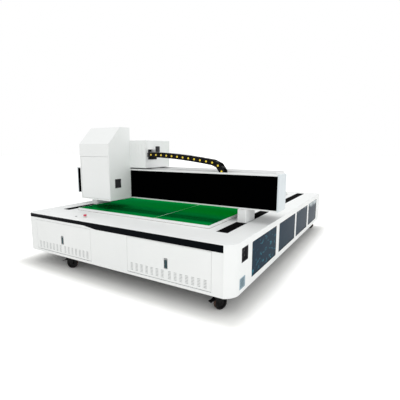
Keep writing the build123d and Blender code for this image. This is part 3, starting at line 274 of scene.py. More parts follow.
class Effects:
    """Shader groups that several finishes share, each built once."""

    def __init__(self) -> None:
        """Starts with no group built."""
        self.built: dict[str, bpy.types.NodeTree] = {}

    def place(self, into: Tree, name: str, **values: object) -> bpy.types.NodeOutputs:
        """Puts a group into a material.

        Args:
            into: the material's tree.
            name: the method here that builds the group.
            values: the group's inputs.

        Returns:
            The group node's outputs.
        """
        if name not in self.built:
            self.built[name] = getattr(self, name)()
        return into.fed("ShaderNodeGroup", values, node_tree=self.built[name]).outputs

    def tone(self) -> bpy.types.NodeTree:
        """Slow change between a colour and its shade, as in a sprayed coat.

        Returns:
            The group's tree.
        """
        made = new_group(
            "tone",
            {"Colour": (COLOUR, WHITE4), "Shade": (COLOUR, WHITE4), "Patches": (FLOAT, 3.0)},
            {"Colour": COLOUR},
        )
        noise = made.noise(made.taken["Patches"], detail=4.0)
        made.link(made.mix(noise, made.taken["Colour"], made.taken["Shade"]), made.given["Colour"])
        return made.tree

    def grain(self) -> bpy.types.NodeTree:
        """Fine orange peel of a coat or moulding.

        Returns:
            The group's tree.
        """
        made = new_group(
            "grain",
            {"Scale": (FLOAT, 600.0), "Smooth": (FLOAT, 0.35), "Rough": (FLOAT, 0.5)},
            {"Roughness": FLOAT, "Height": FLOAT},
        )
        fine = made.noise(made.taken["Scale"])
        both = made.maths("MULTIPLY", fine, made.noise(9.0))
        made.link(made.ramp(both, 0.1, 0.4, made.taken["Smooth"], made.taken["Rough"]),
                  made.given["Roughness"])
        made.link(fine, made.given["Height"])
        return made.tree

    def brush(self) -> bpy.types.NodeTree:
        """Long fine scratches of ground or brushed metal.

        Returns:
            The group's tree.
        """
        made = new_group(
            "brush",
            {"Stretch": (VECTOR, (8.0, 900.0, 900.0)), "Smooth": (FLOAT, 0.2), "Rough": (FLOAT, 0.4)},
            {"Roughness": FLOAT, "Height": FLOAT, "Mask": FLOAT},
        )
        noise = made.noise(1.0, made.stretched(made.taken["Stretch"]), detail=3.0)
        made.link(made.ramp(noise, 0.3, 0.7, made.taken["Smooth"], made.taken["Rough"]),
                  made.given["Roughness"])
        made.link(noise, made.given["Height"])
        made.link(noise, made.given["Mask"])
        return made.tree

    def weave(self) -> bpy.types.NodeTree:
        """Plain weave that shows through a coated cloth.

        Returns:
            The group's tree.
        """
        made = new_group("weave", {"Threads": (FLOAT, 900.0)}, {"Height": FLOAT, "Mask": FLOAT})
        place = made.axes()
        waves = []
        for axis in ("X", "Y"):
            counted = made.maths("MULTIPLY", place[axis], made.taken["Threads"])
            waves.append(made.maths("SINE", made.maths("MULTIPLY", counted, math.tau)))
        lifted = made.maths("MULTIPLY_ADD", made.maths("MULTIPLY", *waves), 0.5, 0.5)
        made.link(lifted, made.given["Height"])
        made.link(lifted, made.given["Mask"])
        return made.tree

    def dust(self) -> bpy.types.NodeTree:
        """Pale dust that thins out with height above the floor.

        Returns:
            The group's tree.
        """
        made = new_group(
            "dust",
            {"Colour": (COLOUR, WHITE4), "Dust": (COLOUR, WHITE4), "Height": (FLOAT, 0.1),
             "Amount": (FLOAT, 0.3)},
            {"Colour": COLOUR},
        )
        risen = made.maths("DIVIDE", made.axes()["Z"], made.taken["Height"])
        low = made.maths("SUBTRACT", 1.0, made.maths("MINIMUM", risen, 1.0))
        spots = made.maths("MULTIPLY", made.noise(60.0), made.taken["Amount"])
        dusted = made.mix(made.maths("MULTIPLY", low, spots), made.taken["Colour"], made.taken["Dust"])
        made.link(dusted, made.given["Colour"])
        return made.tree

    def streaks(self) -> bpy.types.NodeTree:
        """Wavering pale painted reflections in streaky shapes, as on a tinted pane.

        Returns:
            The group's tree.
        """
        made = new_group(
            "streaks",
            {"Colour": (COLOUR, WHITE4), "Streak": (COLOUR, WHITE4), "Stretch": (VECTOR, (1.0, 3.0, 7.0)),
             "From": (FLOAT, 0.55), "To": (FLOAT, 0.8)},
            {"Colour": COLOUR},
        )
        # painted reflection: the pale streaks in the colour stand for the surroundings mirrored in the
        # glass
        noise = made.noise(1.0, made.stretched(made.taken["Stretch"]), detail=3.0, distortion=1.6)
        share = made.ramp(noise, made.taken["From"], made.taken["To"], smooth=True)
        made.link(made.mix(share, made.taken["Colour"], made.taken["Streak"]), made.given["Colour"])
        return made.tree


EFFECTS = Effects()


def four(colour: Colour) -> tuple[float, float, float, float]:
    """A colour with full alpha."""
    return (*colour, 1.0)


@dataclass(frozen=True)
class Finish:
    """A sprayed or moulded finish: a toned colour, a fine grain and a plain gloss."""

    name: str
    slot: str
    colour: Colour
    shade: Colour
    patches: float = 2.0
    smooth: float = 0.38
    rough: float = 0.5
    grain: float = 700.0
    relief: float = 0.00004
    metallic: float = 0.0
    specular: float = 0.5
    coat: float = 0.0
    tint: Colour = (1.0, 1.0, 1.0)

    def make(self) -> bpy.types.Material:
        """The finish as a material, built on its first use.

        Returns:
            The material of this finish.
        """
        found = bpy.data.materials.get(self.name)
        if found:
            return found
        made = bpy.data.materials.new(self.name)
        made.use_nodes = True
        shader = made.node_tree.nodes["Principled BSDF"]
        plain = {"Metallic": self.metallic, "Specular IOR Level": self.specular, "Coat Weight": self.coat,
                 "Coat Roughness": COAT_ROUGHNESS, "Specular Tint": four(self.tint)}
        for label, value in plain.items():
            shader.inputs[label].default_value = value
        self.surface(Tree(made.node_tree), shader)
        made.diffuse_color = four(self.colour)
        return made

    def toned(self, tree: Tree) -> bpy.types.NodeSocket:
        """The colour with its slow change of tone."""
        return EFFECTS.place(tree, "tone", Colour=four(self.colour), Shade=four(self.shade),
                             Patches=self.patches)["Colour"]

    def grained(self, tree: Tree, shader: bpy.types.Node, colour: bpy.types.NodeSocket
                ) -> bpy.types.NodeSocket:
        """Wires a colour and the grain's roughness.

        Args:
            tree: the material's tree.
            shader: its Principled node.
            colour: the colour socket.

        Returns:
            The grain's height socket.
        """
        grain = EFFECTS.place(tree, "grain", Scale=self.grain, Smooth=self.smooth, Rough=self.rough)
        tree.link(colour, shader.inputs["Base Color"])
        tree.link(grain["Roughness"], shader.inputs["Roughness"])
        return grain["Height"]

    def raise_bump(self, tree: Tree, shader: bpy.types.Node, height: bpy.types.NodeSocket) -> None:
        """Adds the relief of this finish from a height."""
        bump = tree.fed("ShaderNodeBump", {"Distance": self.relief, "Height": height})
        tree.link(bump.outputs["Normal"], shader.inputs["Normal"])

    def surface(self, tree: Tree, shader: bpy.types.Node) -> None:
        """Wires colour, roughness and relief."""
        self.raise_bump(tree, shader, self.grained(tree, shader, self.toned(tree)))


@dataclass(frozen=True)
class Metal(Finish):
    """Ground or brushed bare metal."""

    stretch: Point = (8.0, 900.0, 900.0)

    def surface(self, tree: Tree, shader: bpy.types.Node) -> None:
        """Wires colour, roughness and scratches.

        Args:
            tree: the tree to add to.
            shader: the material's Principled node.
        """
        brush = EFFECTS.place(tree, "brush", Stretch=self.stretch, Smooth=self.smooth, Rough=self.rough)
        colour = tree.mix(brush["Mask"], four(self.colour), four(self.shade))
        tree.link(self.shaded(tree, colour), shader.inputs["Base Color"])
        tree.link(brush["Roughness"], shader.inputs["Roughness"])
        self.raise_bump(tree, shader, brush["Height"])

    def shaded(self, tree: Tree, colour: bpy.types.NodeSocket) -> bpy.types.NodeSocket:
        """The metal's colour, which plain metal leaves as it is."""
        return colour


@dataclass(frozen=True)
class Sheen(Metal):
    """Metal-backed glass with a painted reflection: a darker strip painted into its colour where it mirrors
    the gantry's dark underside.
    """

    strip: tuple[float, float, float, float] = (-1.36, -1.27, -1.18, -1.04)
    depth: float = 0.55
    deepest: Colour = (0.0, 0.01, 0.002)

    def shaded(self, tree: Tree, colour: bpy.types.NodeSocket) -> bpy.types.NodeSocket:
        """The colour, darkened along the strip by a painted reflection.

        Args:
            tree: the tree to add to.
            colour: the colour socket.

        Returns:
            The colour socket.
        """
        # painted reflection: the strip darkens the colour where the gantry's underside mirrors in the bed,
        # and it stays in place when the gantry moves
        along = tree.axes()["Y"]
        rise, fall = (tree.ramp(along, *ends, smooth=True) for ends in (self.strip[:2], self.strip[:1:-1]))
        share = tree.maths("MULTIPLY", tree.maths("MULTIPLY", rise, fall), self.depth)
        return tree.mix(share, colour, four(self.deepest))


@dataclass(frozen=True)
class Cloth(Finish):
    """Coated cloth with its weave showing through."""

    threads: float = 900.0

    def surface(self, tree: Tree, shader: bpy.types.Node) -> None:
        """Wires colour, roughness and weave.

        Args:
            tree: the tree to add to.
            shader: the material's Principled node.
        """
        weave = EFFECTS.place(tree, "weave", Threads=self.threads)
        self.grained(tree, shader, tree.mix(weave["Mask"], four(self.colour), four(self.shade)))
        self.raise_bump(tree, shader, weave["Height"])


@dataclass(frozen=True)
class Dusty(Finish):
    """A finish near the floor, with a little dust low down."""

    dust: Colour = (0.30, 0.29, 0.27)
    reach: float = 0.12
    amount: float = 0.35

    def surface(self, tree: Tree, shader: bpy.types.Node) -> None:
        """Wires colour with dust, roughness and relief.

        Args:
            tree: the tree to add to.
            shader: the material's Principled node.
        """
        dust = EFFECTS.place(tree, "dust", Colour=self.toned(tree), Dust=four(self.dust),
                             Height=self.reach, Amount=self.amount)
        self.raise_bump(tree, shader, self.grained(tree, shader, dust["Colour"]))


@dataclass(frozen=True)
class Pane(Finish):
    """Tinted pane with streaky painted reflections in its tint."""

    streak: Colour = (0.05, 0.16, 0.20)
    stretch: Point = (1.0, 3.0, 7.0)
    starts: float = 0.55
    full: float = 0.8

    def streaked(self, tree: Tree, colour: bpy.types.NodeSocket) -> bpy.types.NodeSocket:
        """A colour with the pane's streaky painted reflections."""
        return EFFECTS.place(tree, "streaks", Colour=colour, Streak=four(self.streak),
                             Stretch=self.stretch, From=self.starts, To=self.full)["Colour"]

    def surface(self, tree: Tree, shader: bpy.types.Node) -> None:
        """Wires the tint with its painted reflections, and its gloss."""
        self.grained(tree, shader, self.streaked(tree, self.toned(tree)))


@dataclass(frozen=True)
class Outlook(Pane):
    """Tinted pane: streaky painted reflections in the nearest one, and a pale painted reflection of the
    bright surroundings in the upper part of the far ones.
    """

    room: Colour = (0.50, 0.56, 0.58)
    near: float = -0.65
    begins: float = 0.10
    ends: float = 1.45
    sill: float = 0.58
    fall: float = 0.09
    waver: float = 0.16

    def surface(self, tree: Tree, shader: bpy.types.Node) -> None:
        """Wires the tint, its painted reflections and the pale painted reflection of the surroundings by
        the place along the machine.

        Args:
            tree: the tree to add to.
            shader: the material's Principled node.
        """
        place = tree.axes()
        tint = self.toned(tree)
        glass = tree.mix(tree.maths("LESS_THAN", place["Y"], self.near), tint, self.streaked(tree, tint))
        # painted reflection: a pale colour over the upper part of the far panes stands for the bright
        # surroundings mirrored in them
        far = tree.ramp(place["Y"], self.begins, self.ends)
        edge = tree.maths("MULTIPLY_ADD", far, -self.fall, self.sill)
        risen = tree.maths("MULTIPLY_ADD", tree.noise(5.0, detail=3.0), self.waver, place["Z"])
        above = tree.maths("SUBTRACT", tree.maths("SUBTRACT", risen, self.waver / 2), edge)
        room = tree.ramp(above, -0.02, 0.05, smooth=True)
        self.grained(tree, shader, tree.mix(room, glass, four(self.room)))


PAINT = Finish("white_powder_coat", "white_paint", (0.86, 0.87, 0.865), (0.80, 0.82, 0.815))
# painted shade: a darker bluish copy of the white paint, worn by the gantry's end caps for the shade on
# their side faces
CAP_PAINTED_SHADE = Finish("grey_powder_coat", "grey_paint", (0.68, 0.73, 0.755), (0.63, 0.685, 0.715))
# painted shade: a grey copy of the white paint on the louvre blades, for the shade inside the slits
BLADE_PAINTED_SHADE = Finish("louvre_powder_coat", "white_paint", (0.52, 0.54, 0.535), (0.48, 0.50, 0.495))
# near-black primer on the frame, also painted as shade on the gantry fascia's underside
PRIMER_AND_UNDERSIDE_SHADE = Dusty("frame_primer", "frame_paint", (0.10, 0.105, 0.11), (0.07, 0.072, 0.078), smooth=0.5,
               rough=0.7, reach=0.3)
PANEL_BLACK = Finish("black_panel_gloss", "black_gloss", (0.0002, 0.0002, 0.0003),
                     (0.0004, 0.0004, 0.0005), smooth=0.3, rough=0.4, specular=0.0, relief=0.00001)
BAND_BLACK = Finish("band_gloss", "black_gloss", (0.0004, 0.0008, 0.0016), (0.0008, 0.0020, 0.0040),
                    smooth=0.15, rough=0.25, specular=0.03, relief=0.00001)
BLACK_PLASTIC = Finish("black_plastic", "black_plastic", (0.0012, 0.0012, 0.0014),
                       (0.0022, 0.0022, 0.0025), patches=20.0, smooth=0.4, rough=0.55, grain=1400.0,
                       specular=0.06)
LATCH_GLOSS = Finish("latch_gloss", "black_plastic", (0.004, 0.030, 0.038), (0.006, 0.045, 0.055),
                     patches=30.0, smooth=0.12, rough=0.2, specular=0.35, relief=0.00001)
BLACK_STEEL = Dusty("black_enamel", "black_steel", (0.002, 0.002, 0.0022), (0.005, 0.005, 0.0055),
                    patches=30.0, smooth=0.25, rough=0.45, specular=0.12, amount=0.06)
# bed glass with a painted dark reflection strip under the gantry
BED_GREEN = Sheen("green_backed_glass", "green_glass", (0.0, 0.31, 0.060), (0.0, 0.26, 0.050),
                  smooth=0.06, rough=0.13, metallic=0.34, specular=0.0, relief=0.00001,
                  tint=(0.0, 0.70, 0.22), stretch=(40.0, 40.0, 40.0))
BED_SEAM = Finish("bed_joint", "white_paint", (0.55, 0.72, 0.60), (0.50, 0.68, 0.55), patches=6.0)
# window glass with painted reflections in its colour
WINDOW = Outlook("dark_window_glass", "dark_glass", (0.009, 0.021, 0.046), (0.016, 0.042, 0.062),
                 smooth=0.05, rough=0.10, specular=0.006, streak=(0.03, 0.16, 0.22), starts=0.58,
                 full=0.66, stretch=(4.0, 9.0, 16.0))
STEEL = Metal("ground_steel", "steel", (0.62, 0.62, 0.63), (0.50, 0.50, 0.51), smooth=0.18, rough=0.35,
              metallic=1.0, relief=0.00001, stretch=(700.0, 6.0, 700.0))
COVER_STEEL = Metal("stainless_cover", "steel", (0.90, 0.90, 0.90), (0.84, 0.84, 0.84), smooth=0.3,
                    rough=0.45, metallic=0.45, relief=0.00001, stretch=(8.0, 600.0, 600.0))
BRIGHT_STEEL = Metal("zinc_plated_steel", "steel", (0.70, 0.70, 0.70), (0.58, 0.58, 0.57), smooth=0.2,
                     rough=0.38, metallic=1.0, relief=0.00001, stretch=(300.0, 300.0, 300.0))
ALUMINIUM = Metal("anodised_aluminium", "aluminium", (0.66, 0.67, 0.68), (0.58, 0.59, 0.60), smooth=0.3,
                  rough=0.45, metallic=0.9, relief=0.00001, stretch=(900.0, 900.0, 9.0))
BELLOWS_CLOTH = Cloth("coated_bellows_cloth", "bellows_fabric", (0.0016, 0.0016, 0.0018),
                      (0.005, 0.005, 0.0055), smooth=0.45, rough=0.65, specular=0.08, relief=0.00005)
NYLON = Finish("filled_nylon", "chain_plastic", (0.0016, 0.0016, 0.0018), (0.004, 0.004, 0.005),
               patches=25.0, smooth=0.3, rough=0.5, grain=1200.0, specular=0.10)
YELLOW = Finish("yellow_moulding", "yellow_plastic", (0.90, 0.66, 0.03), (0.84, 0.60, 0.025),
                patches=40.0, smooth=0.25, rough=0.35, relief=0.00001)
RED = Finish("red_moulding", "red_plastic", (0.66, 0.05, 0.10), (0.58, 0.035, 0.08), patches=40.0,
             smooth=0.2, rough=0.3, specular=0.3, relief=0.00001)
PALE_BUTTON = Finish("pale_moulding", "grey_plastic", (0.40, 0.43, 0.43), (0.36, 0.39, 0.39),
                     patches=40.0, smooth=0.25, rough=0.35, relief=0.00001)
COLLAR = Finish("pale_collar", "grey_plastic", (0.70, 0.70, 0.66), (0.64, 0.64, 0.60), patches=40.0,
                smooth=0.25, rough=0.35, relief=0.00001)
TREAD = Dusty("brown_tread", "caster_tread", (0.060, 0.022, 0.010), (0.040, 0.015, 0.008), patches=25.0,
              smooth=0.35, rough=0.5, specular=0.2, amount=0.10)
GASKET = Finish("black_gasket", "black_plastic", (0.004, 0.004, 0.0045), (0.007, 0.007, 0.0075),
                patches=10.0, smooth=0.6, rough=0.75, specular=0.06)
# painted shadow: a brown line along the foot of the raised bed, where its contact shadow falls
BED_FOOT_PAINTED_SHADOW = Finish("brown_edge_strip", "caster_tread", (0.20, 0.11, 0.09), (0.15, 0.085, 0.07),
                 patches=8.0, smooth=0.45, rough=0.6)
SEAM = Finish("seam_shadow", "white_paint", (0.30, 0.30, 0.295), (0.36, 0.36, 0.35), patches=5.0,
              smooth=0.6, rough=0.7)
GRILLE = Finish("grille_paint", "grey_paint", (0.27, 0.39, 0.46), (0.23, 0.35, 0.42), patches=8.0)
# lens glass with faint painted reflection streaks in its colour
LENS = Pane("coated_lens_glass", "dark_glass", (0.02, 0.01, 0.05), (0.04, 0.015, 0.07), smooth=0.02,
            rough=0.05, specular=0.8, coat=0.5, streak=(0.06, 0.02, 0.02))


def dress(node: str, finish: Finish) -> None:
    """Gives a node of the model its finish.

    Args:
        node: the node's name.
        finish: its finish.
    """
    shown = frame["nodes"][node]
    if not shown.material_slots:
        shown.data.materials.append(None)
    for holder in shown.material_slots:
        holder.material = finish.make()
    shown.data.shade_smooth()
    shown.data.set_sharp_from_angle(angle=math.radians(28))
    log.info("dressed %s as %s", node, finish.name)


def as_object(name: str, mesh: bpy.types.Mesh, finishes: Sequence[Finish]) -> bpy.types.Object:
    """Links a mesh into the scene as a piece.

    Args:
        name: the piece's name.
        mesh: its mesh, in place.
        finishes: its finishes in the order of their indices.

    Returns:
        The new object, at the origin.
    """
    if not mesh.materials:
        for finish in finishes:
            mesh.materials.append(finish.make())
    made = bpy.data.objects.new(name, mesh)
    bpy.context.scene.collection.objects.link(made)
    return made


def from_bmesh(name: str, form: bmesh.types.BMesh, finishes: Sequence[Finish],
               sharp: float = 35.0) -> bpy.types.Object:
    """Turns a bmesh into a piece with smooth faces and sharp edges.

    Args:
        name: the piece's name.
        form: the bmesh, which is freed.
        finishes: its finishes.
        sharp: the angle in degrees past which an edge is sharp.

    Returns:
        The new object.
    """
    bmesh.ops.recalc_face_normals(form, faces=form.faces)
    mesh = bpy.data.meshes.new(name)
    form.to_mesh(mesh)
    form.free()
    mesh.shade_smooth()
    mesh.set_sharp_from_angle(angle=math.radians(sharp))
    return as_object(name, mesh, finishes)


def riding(name: str, form: bmesh.types.BMesh, finishes: Sequence[Finish], body: str) -> bpy.types.Object:
    """Turns a bmesh into a piece that moves with a body.

    Args:
        name: the piece's name.
        form: the bmesh, which is freed.
        finishes: its finishes.
        body: the body that carries it.

    Returns:
        The new object.
    """
    made = from_bmesh(name, form, finishes)
    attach(made, body)
    return made


def bake_down(made: bpy.types.Object) -> bpy.types.Object:
    """Replaces an object's modifiers by their result.

    Args:
        made: the object with its modifiers.

    Returns:
        The same object with a plain mesh.
    """
    graph = bpy.context.evaluated_depsgraph_get()
    plain = bpy.data.meshes.new_from_object(made.evaluated_get(graph))
    made.modifiers.clear()
    old = made.data
    made.data = plain
    plain.name = made.name
    bpy.data.meshes.remove(old)
    return made


@dataclass
class Softened:
    """A copy of a node with its edges rounded, as folded and sprayed sheet has them."""

    node: str
    finish: Finish
    width: float = 0.8 * MM
    segments: int = 2
    chosen: Callable[[bmesh.types.BMEdge], bool] | None = None
    limit: float = 35.0
    second: Finish | None = None
    on_second: Callable[[bmesh.types.BMFace], bool] | None = None
    reshape: Callable[[bmesh.types.BMesh], None] | None = None

    def build(self) -> bpy.types.Object:
        """Builds the copy and puts it in the node's place.

        Returns:
            The new piece.
        """
        form = bmesh.new()
        form.from_mesh(frame["nodes"][self.node].data)
        bmesh.ops.remove_doubles(form, verts=form.verts, dist=0.02 * MM)
        bmesh.ops.dissolve_limit(
            form, angle_limit=math.radians(1.0), verts=form.verts, edges=form.edges)
        if self.reshape:
            self.reshape(form)
        form.normal_update()
        for face in form.faces:
            face.material_index = 1 if self.second and self.on_second(face) else 0
        mark = form.edges.layers.float.new("bevel_weight_edge")
        for edge in form.edges:
            turned = edge.is_manifold and edge.calc_face_angle(0.0) > math.radians(self.limit)
            wanted = turned and (self.chosen is None or self.chosen(edge))
            edge[mark] = 1.0 if wanted else 0.0
        finishes = [self.finish, self.second] if self.second else [self.finish]
        made = from_bmesh(self.node + "_soft", form, finishes, sharp=28.0)
        bevel = made.modifiers.new("rounding", "BEVEL")
        bevel.width = self.width
        bevel.segments = self.segments
        bevel.limit_method = "WEIGHT"
        bevel.harden_normals = True
        bake_down(made)
        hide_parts(self.node)
        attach(made, frame["nodes"][self.node]["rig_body"])
        log.info("rounded the edges of %s", self.node)
        return made


def soften(finish: Finish, width: float, *nodes: str) -> None:
    """Rounds the edges of nodes that share a finish."""
    for node in nodes:
        Softened(node, finish, width=width).build()


def bridge(form: bmesh.types.BMesh, rings: Sequence[Sequence[bmesh.types.BMVert]], index: int = 0) -> None:
    """Joins rings of vertices by faces, one ring to the next.

    Args:
        form: the bmesh to add to.
        rings: the rings, a single vertex standing for a pole.
        index: the material index of the faces.
    """
    for first, second in zip(rings, rings[1:]):
        count = max(len(first), len(second))
        for step in range(count if count > 1 else 0):
            ahead = (step + 1) % count
            if len(first) == 1:
                corners = (first[0], second[ahead], second[step])
            elif len(second) == 1:
                corners = (first[step], first[ahead], second[0])
            else:
                corners = (first[step], first[ahead], second[ahead], second[step])
            form.faces.new(corners).material_index = index


def loose_box(form: bmesh.types.BMesh, low: Point, high: Point, index: int = 0) -> list[bmesh.types.BMVert]:
    """Adds a box between two corners.

    Args:
        form: the bmesh to add to.
        low: lowest corner.
        high: highest corner.
        index: the material index of its faces.

    Returns:
        Its vertices.
    """
    size = Vector(high) - Vector(low)
    middle = (Vector(high) + Vector(low)) / 2
    made = bmesh.ops.create_cube(
        form, size=1.0, matrix=Matrix.Translation(middle) @ Matrix.Diagonal((*size, 1.0)))
    for face in {face for vert in made["verts"] for face in vert.link_faces}:
        face.material_index = index
    return made["verts"]


def bevelled_box(form: bmesh.types.BMesh, low: Point, high: Point, round_off: float,
                 index: int = 0) -> None:
    """Adds a box with rounded edges.

    Args:
        form: the bmesh to add to.
        low: lowest corner.
        high: highest corner.
        round_off: the radius of its edges.
        index: the material index of its faces.
    """
    verts = loose_box(form, low, high, index)
    edges = list({edge for vert in verts for edge in vert.link_edges})
    bmesh.ops.bevel(form, geom=edges, offset=round_off, segments=2, affect="EDGES", profile=0.5)


def turned(form: bmesh.types.BMesh, profile: Sequence[tuple[float, float]], at: Point, axis: Vector,
           steps: int, index: int = 0) -> None:
    """Adds a form turned about an axis from a closed or pole-to-pole profile.

    Args:
        form: the bmesh to add to.
        profile: pairs of distance along the axis and radius.
        at: the axis's point at distance zero.
        axis: its direction.
        steps: how many faces go round.
        index: the material index of its faces.
    """
    along = axis.normalized()
    side = along.orthogonal().normalized()
    cross = along.cross(side)
    rings = []
    for far, radius in profile:
        if radius < 1e-7:
            rings.append([form.verts.new(Vector(at) + along * far)])
            continue
        ring = []
        for step in range(steps):
            angle = math.tau * step / steps
            out = side * math.cos(angle) + cross * math.sin(angle)
            ring.append(form.verts.new(Vector(at) + along * far + out * radius))
        rings.append(ring)
    bridge(form, rings, index)


def new_geometry(name: str, inputs: dict[str, str]) -> Tree:
    """Makes an empty geometry tree with named inputs and a Finish.

    Args:
        name: the tree's name.
        inputs: for each input its socket type.

    Returns:
        The tree.
    """
    tree = bpy.data.node_groups.new(name, "GeometryNodeTree")
    for label, kind in {"Geometry": GEOMETRY, **inputs, "Finish": MATERIAL}.items():
        tree.interface.new_socket(label, in_out="INPUT", socket_type=kind)
    tree.interface.new_socket("Geometry", in_out="OUTPUT", socket_type=GEOMETRY)
    return Tree(tree).ends()


def end_geometry(made: Tree, geometry: bpy.types.NodeSocket) -> bpy.types.NodeTree:
    """Ends a geometry tree by real copies that wear the Finish.

    Args:
        made: the tree.
        geometry: what it has built.

    Returns:
        The finished tree.
    """
    real = made.fed("GeometryNodeRealizeInstances", {"Geometry": geometry}).outputs["Geometry"]
    worn = made.fed("GeometryNodeSetMaterial", {"Geometry": real, "Material": made.taken["Finish"]})
    made.link(worn.outputs["Geometry"], made.given["Geometry"])
    return made.tree


@dataclass
class Scatter:
    """Geometry nodes that set copies of one piece on the points of a mesh, turned by an attribute."""

    name: str

    def tree(self) -> bpy.types.NodeTree:
        """Builds the tree on its first use.

        Returns:
            The geometry tree with the inputs Copy, Size and Finish.
        """
        found = bpy.data.node_groups.get(self.name)
        if found:
            return found
        made = new_geometry(self.name, {"Copy": "NodeSocketObject", "Size": FLOAT})
        copy = made.fed("GeometryNodeObjectInfo", {"Object": made.taken["Copy"]})
        lean = made.fed("GeometryNodeInputNamedAttribute", {"Name": "lean"}, data_type="FLOAT_VECTOR")
        to_turn = made.node("FunctionNodeEulerToRotation")
        made.link(lean.outputs["Attribute"], to_turn.inputs[0])
        spread = made.fed("GeometryNodeInstanceOnPoints", {
            "Points": made.taken["Geometry"], "Instance": copy.outputs["Geometry"],
            "Rotation": to_turn.outputs[0], "Scale": made.taken["Size"]})
        return end_geometry(made, spread.outputs["Instances"])

    def lay(self, name: str, copy: bpy.types.Object, places: Sequence[tuple[Point, Point]],
            finish: Finish, size: float = 1.0) -> bpy.types.Object:
        """Lays copies on the given places and returns them as one plain piece.

        Args:
            name: the new piece's name.
            copy: the object to repeat, built around the origin.
            places: for each copy its place and its turn as Euler angles.
            finish: the finish of all copies.
            size: their scale.

        Returns:
            The new piece.
        """
        mesh = bpy.data.meshes.new(name)
        mesh.from_pydata([place for place, turn in places], [], [])
        lean = mesh.attributes.new("lean", "FLOAT_VECTOR", "POINT")
        for index, (place, turn) in enumerate(places):
            lean.data[index].vector = turn
        made = as_object(name, mesh, [finish])
        modifier = made.modifiers.new("copies", "NODES")
        set_inputs(modifier, self.tree(), {"Copy": copy, "Size": size, "Finish": finish.make()})
        bake_down(made)
        if "lean" in made.data.attributes:
            made.data.attributes.remove(made.data.attributes["lean"])
        made.data.shade_smooth()
        made.data.set_sharp_from_angle(angle=math.radians(35))
        return made


def set_inputs(modifier: bpy.types.Modifier, tree: bpy.types.NodeTree, values: dict[str, object]) -> None:
    """Sets a geometry nodes modifier's inputs by their sockets' identifiers.

    Args:
        modifier: the modifier.
        tree: the tree it runs.
        values: for each input's name its value.
    """
    modifier.node_group = tree
    for item in tree.interface.items_tree:
        if item.item_type == "SOCKET" and item.in_out == "INPUT" and item.name in values:
            modifier[item.identifier] = values[item.name]


COPIES = Scatter("copies_on_points")


def drop(piece: bpy.types.Object) -> None:
    """Removes a pattern piece that has been copied."""
    bpy.data.objects.remove(piece, do_unlink=True)


def socket_screw(radius: float, height: float) -> bpy.types.Object:
    """Makes a cap screw's head with its hexagon recess, its seat on the XY plane.

    Args:
        radius: the head's radius.
        height: the head's height.

    Returns:
        The pattern piece.
    """
    form = bmesh.new()
    hollow = radius * 0.5
    profile = (
        (0.0, radius), (height * 0.85, radius), (height, radius * 0.86), (height, hollow),
        (height * 0.45, hollow), (height * 0.45, 0.0),
    )
    turned(form, profile, (0, 0, 0), Vector((0, 0, 1)), 12)
    return from_bmesh("screw_pattern", form, [BRIGHT_STEEL])


FACE_UP: Point = (0.0, 0.0, 0.0)
FACE_FRONT: Point = (math.pi / 2, 0.0, 0.0)
FACE_BACK: Point = (math.pi / 2, 0.0, math.pi)
FACE_RIGHT: Point = (0.0, math.pi / 2, 0.0)
FACE_LEFT: Point = (0.0, -math.pi / 2, 0.0)
FACE_DOWN: Point = (math.pi, 0.0, 0.0)


def spaced(start: float, end: float, count: int) -> list[float]:
    """Even places from start to end."""
    return [start + (end - start) * step / (count - 1) for step in range(count)]


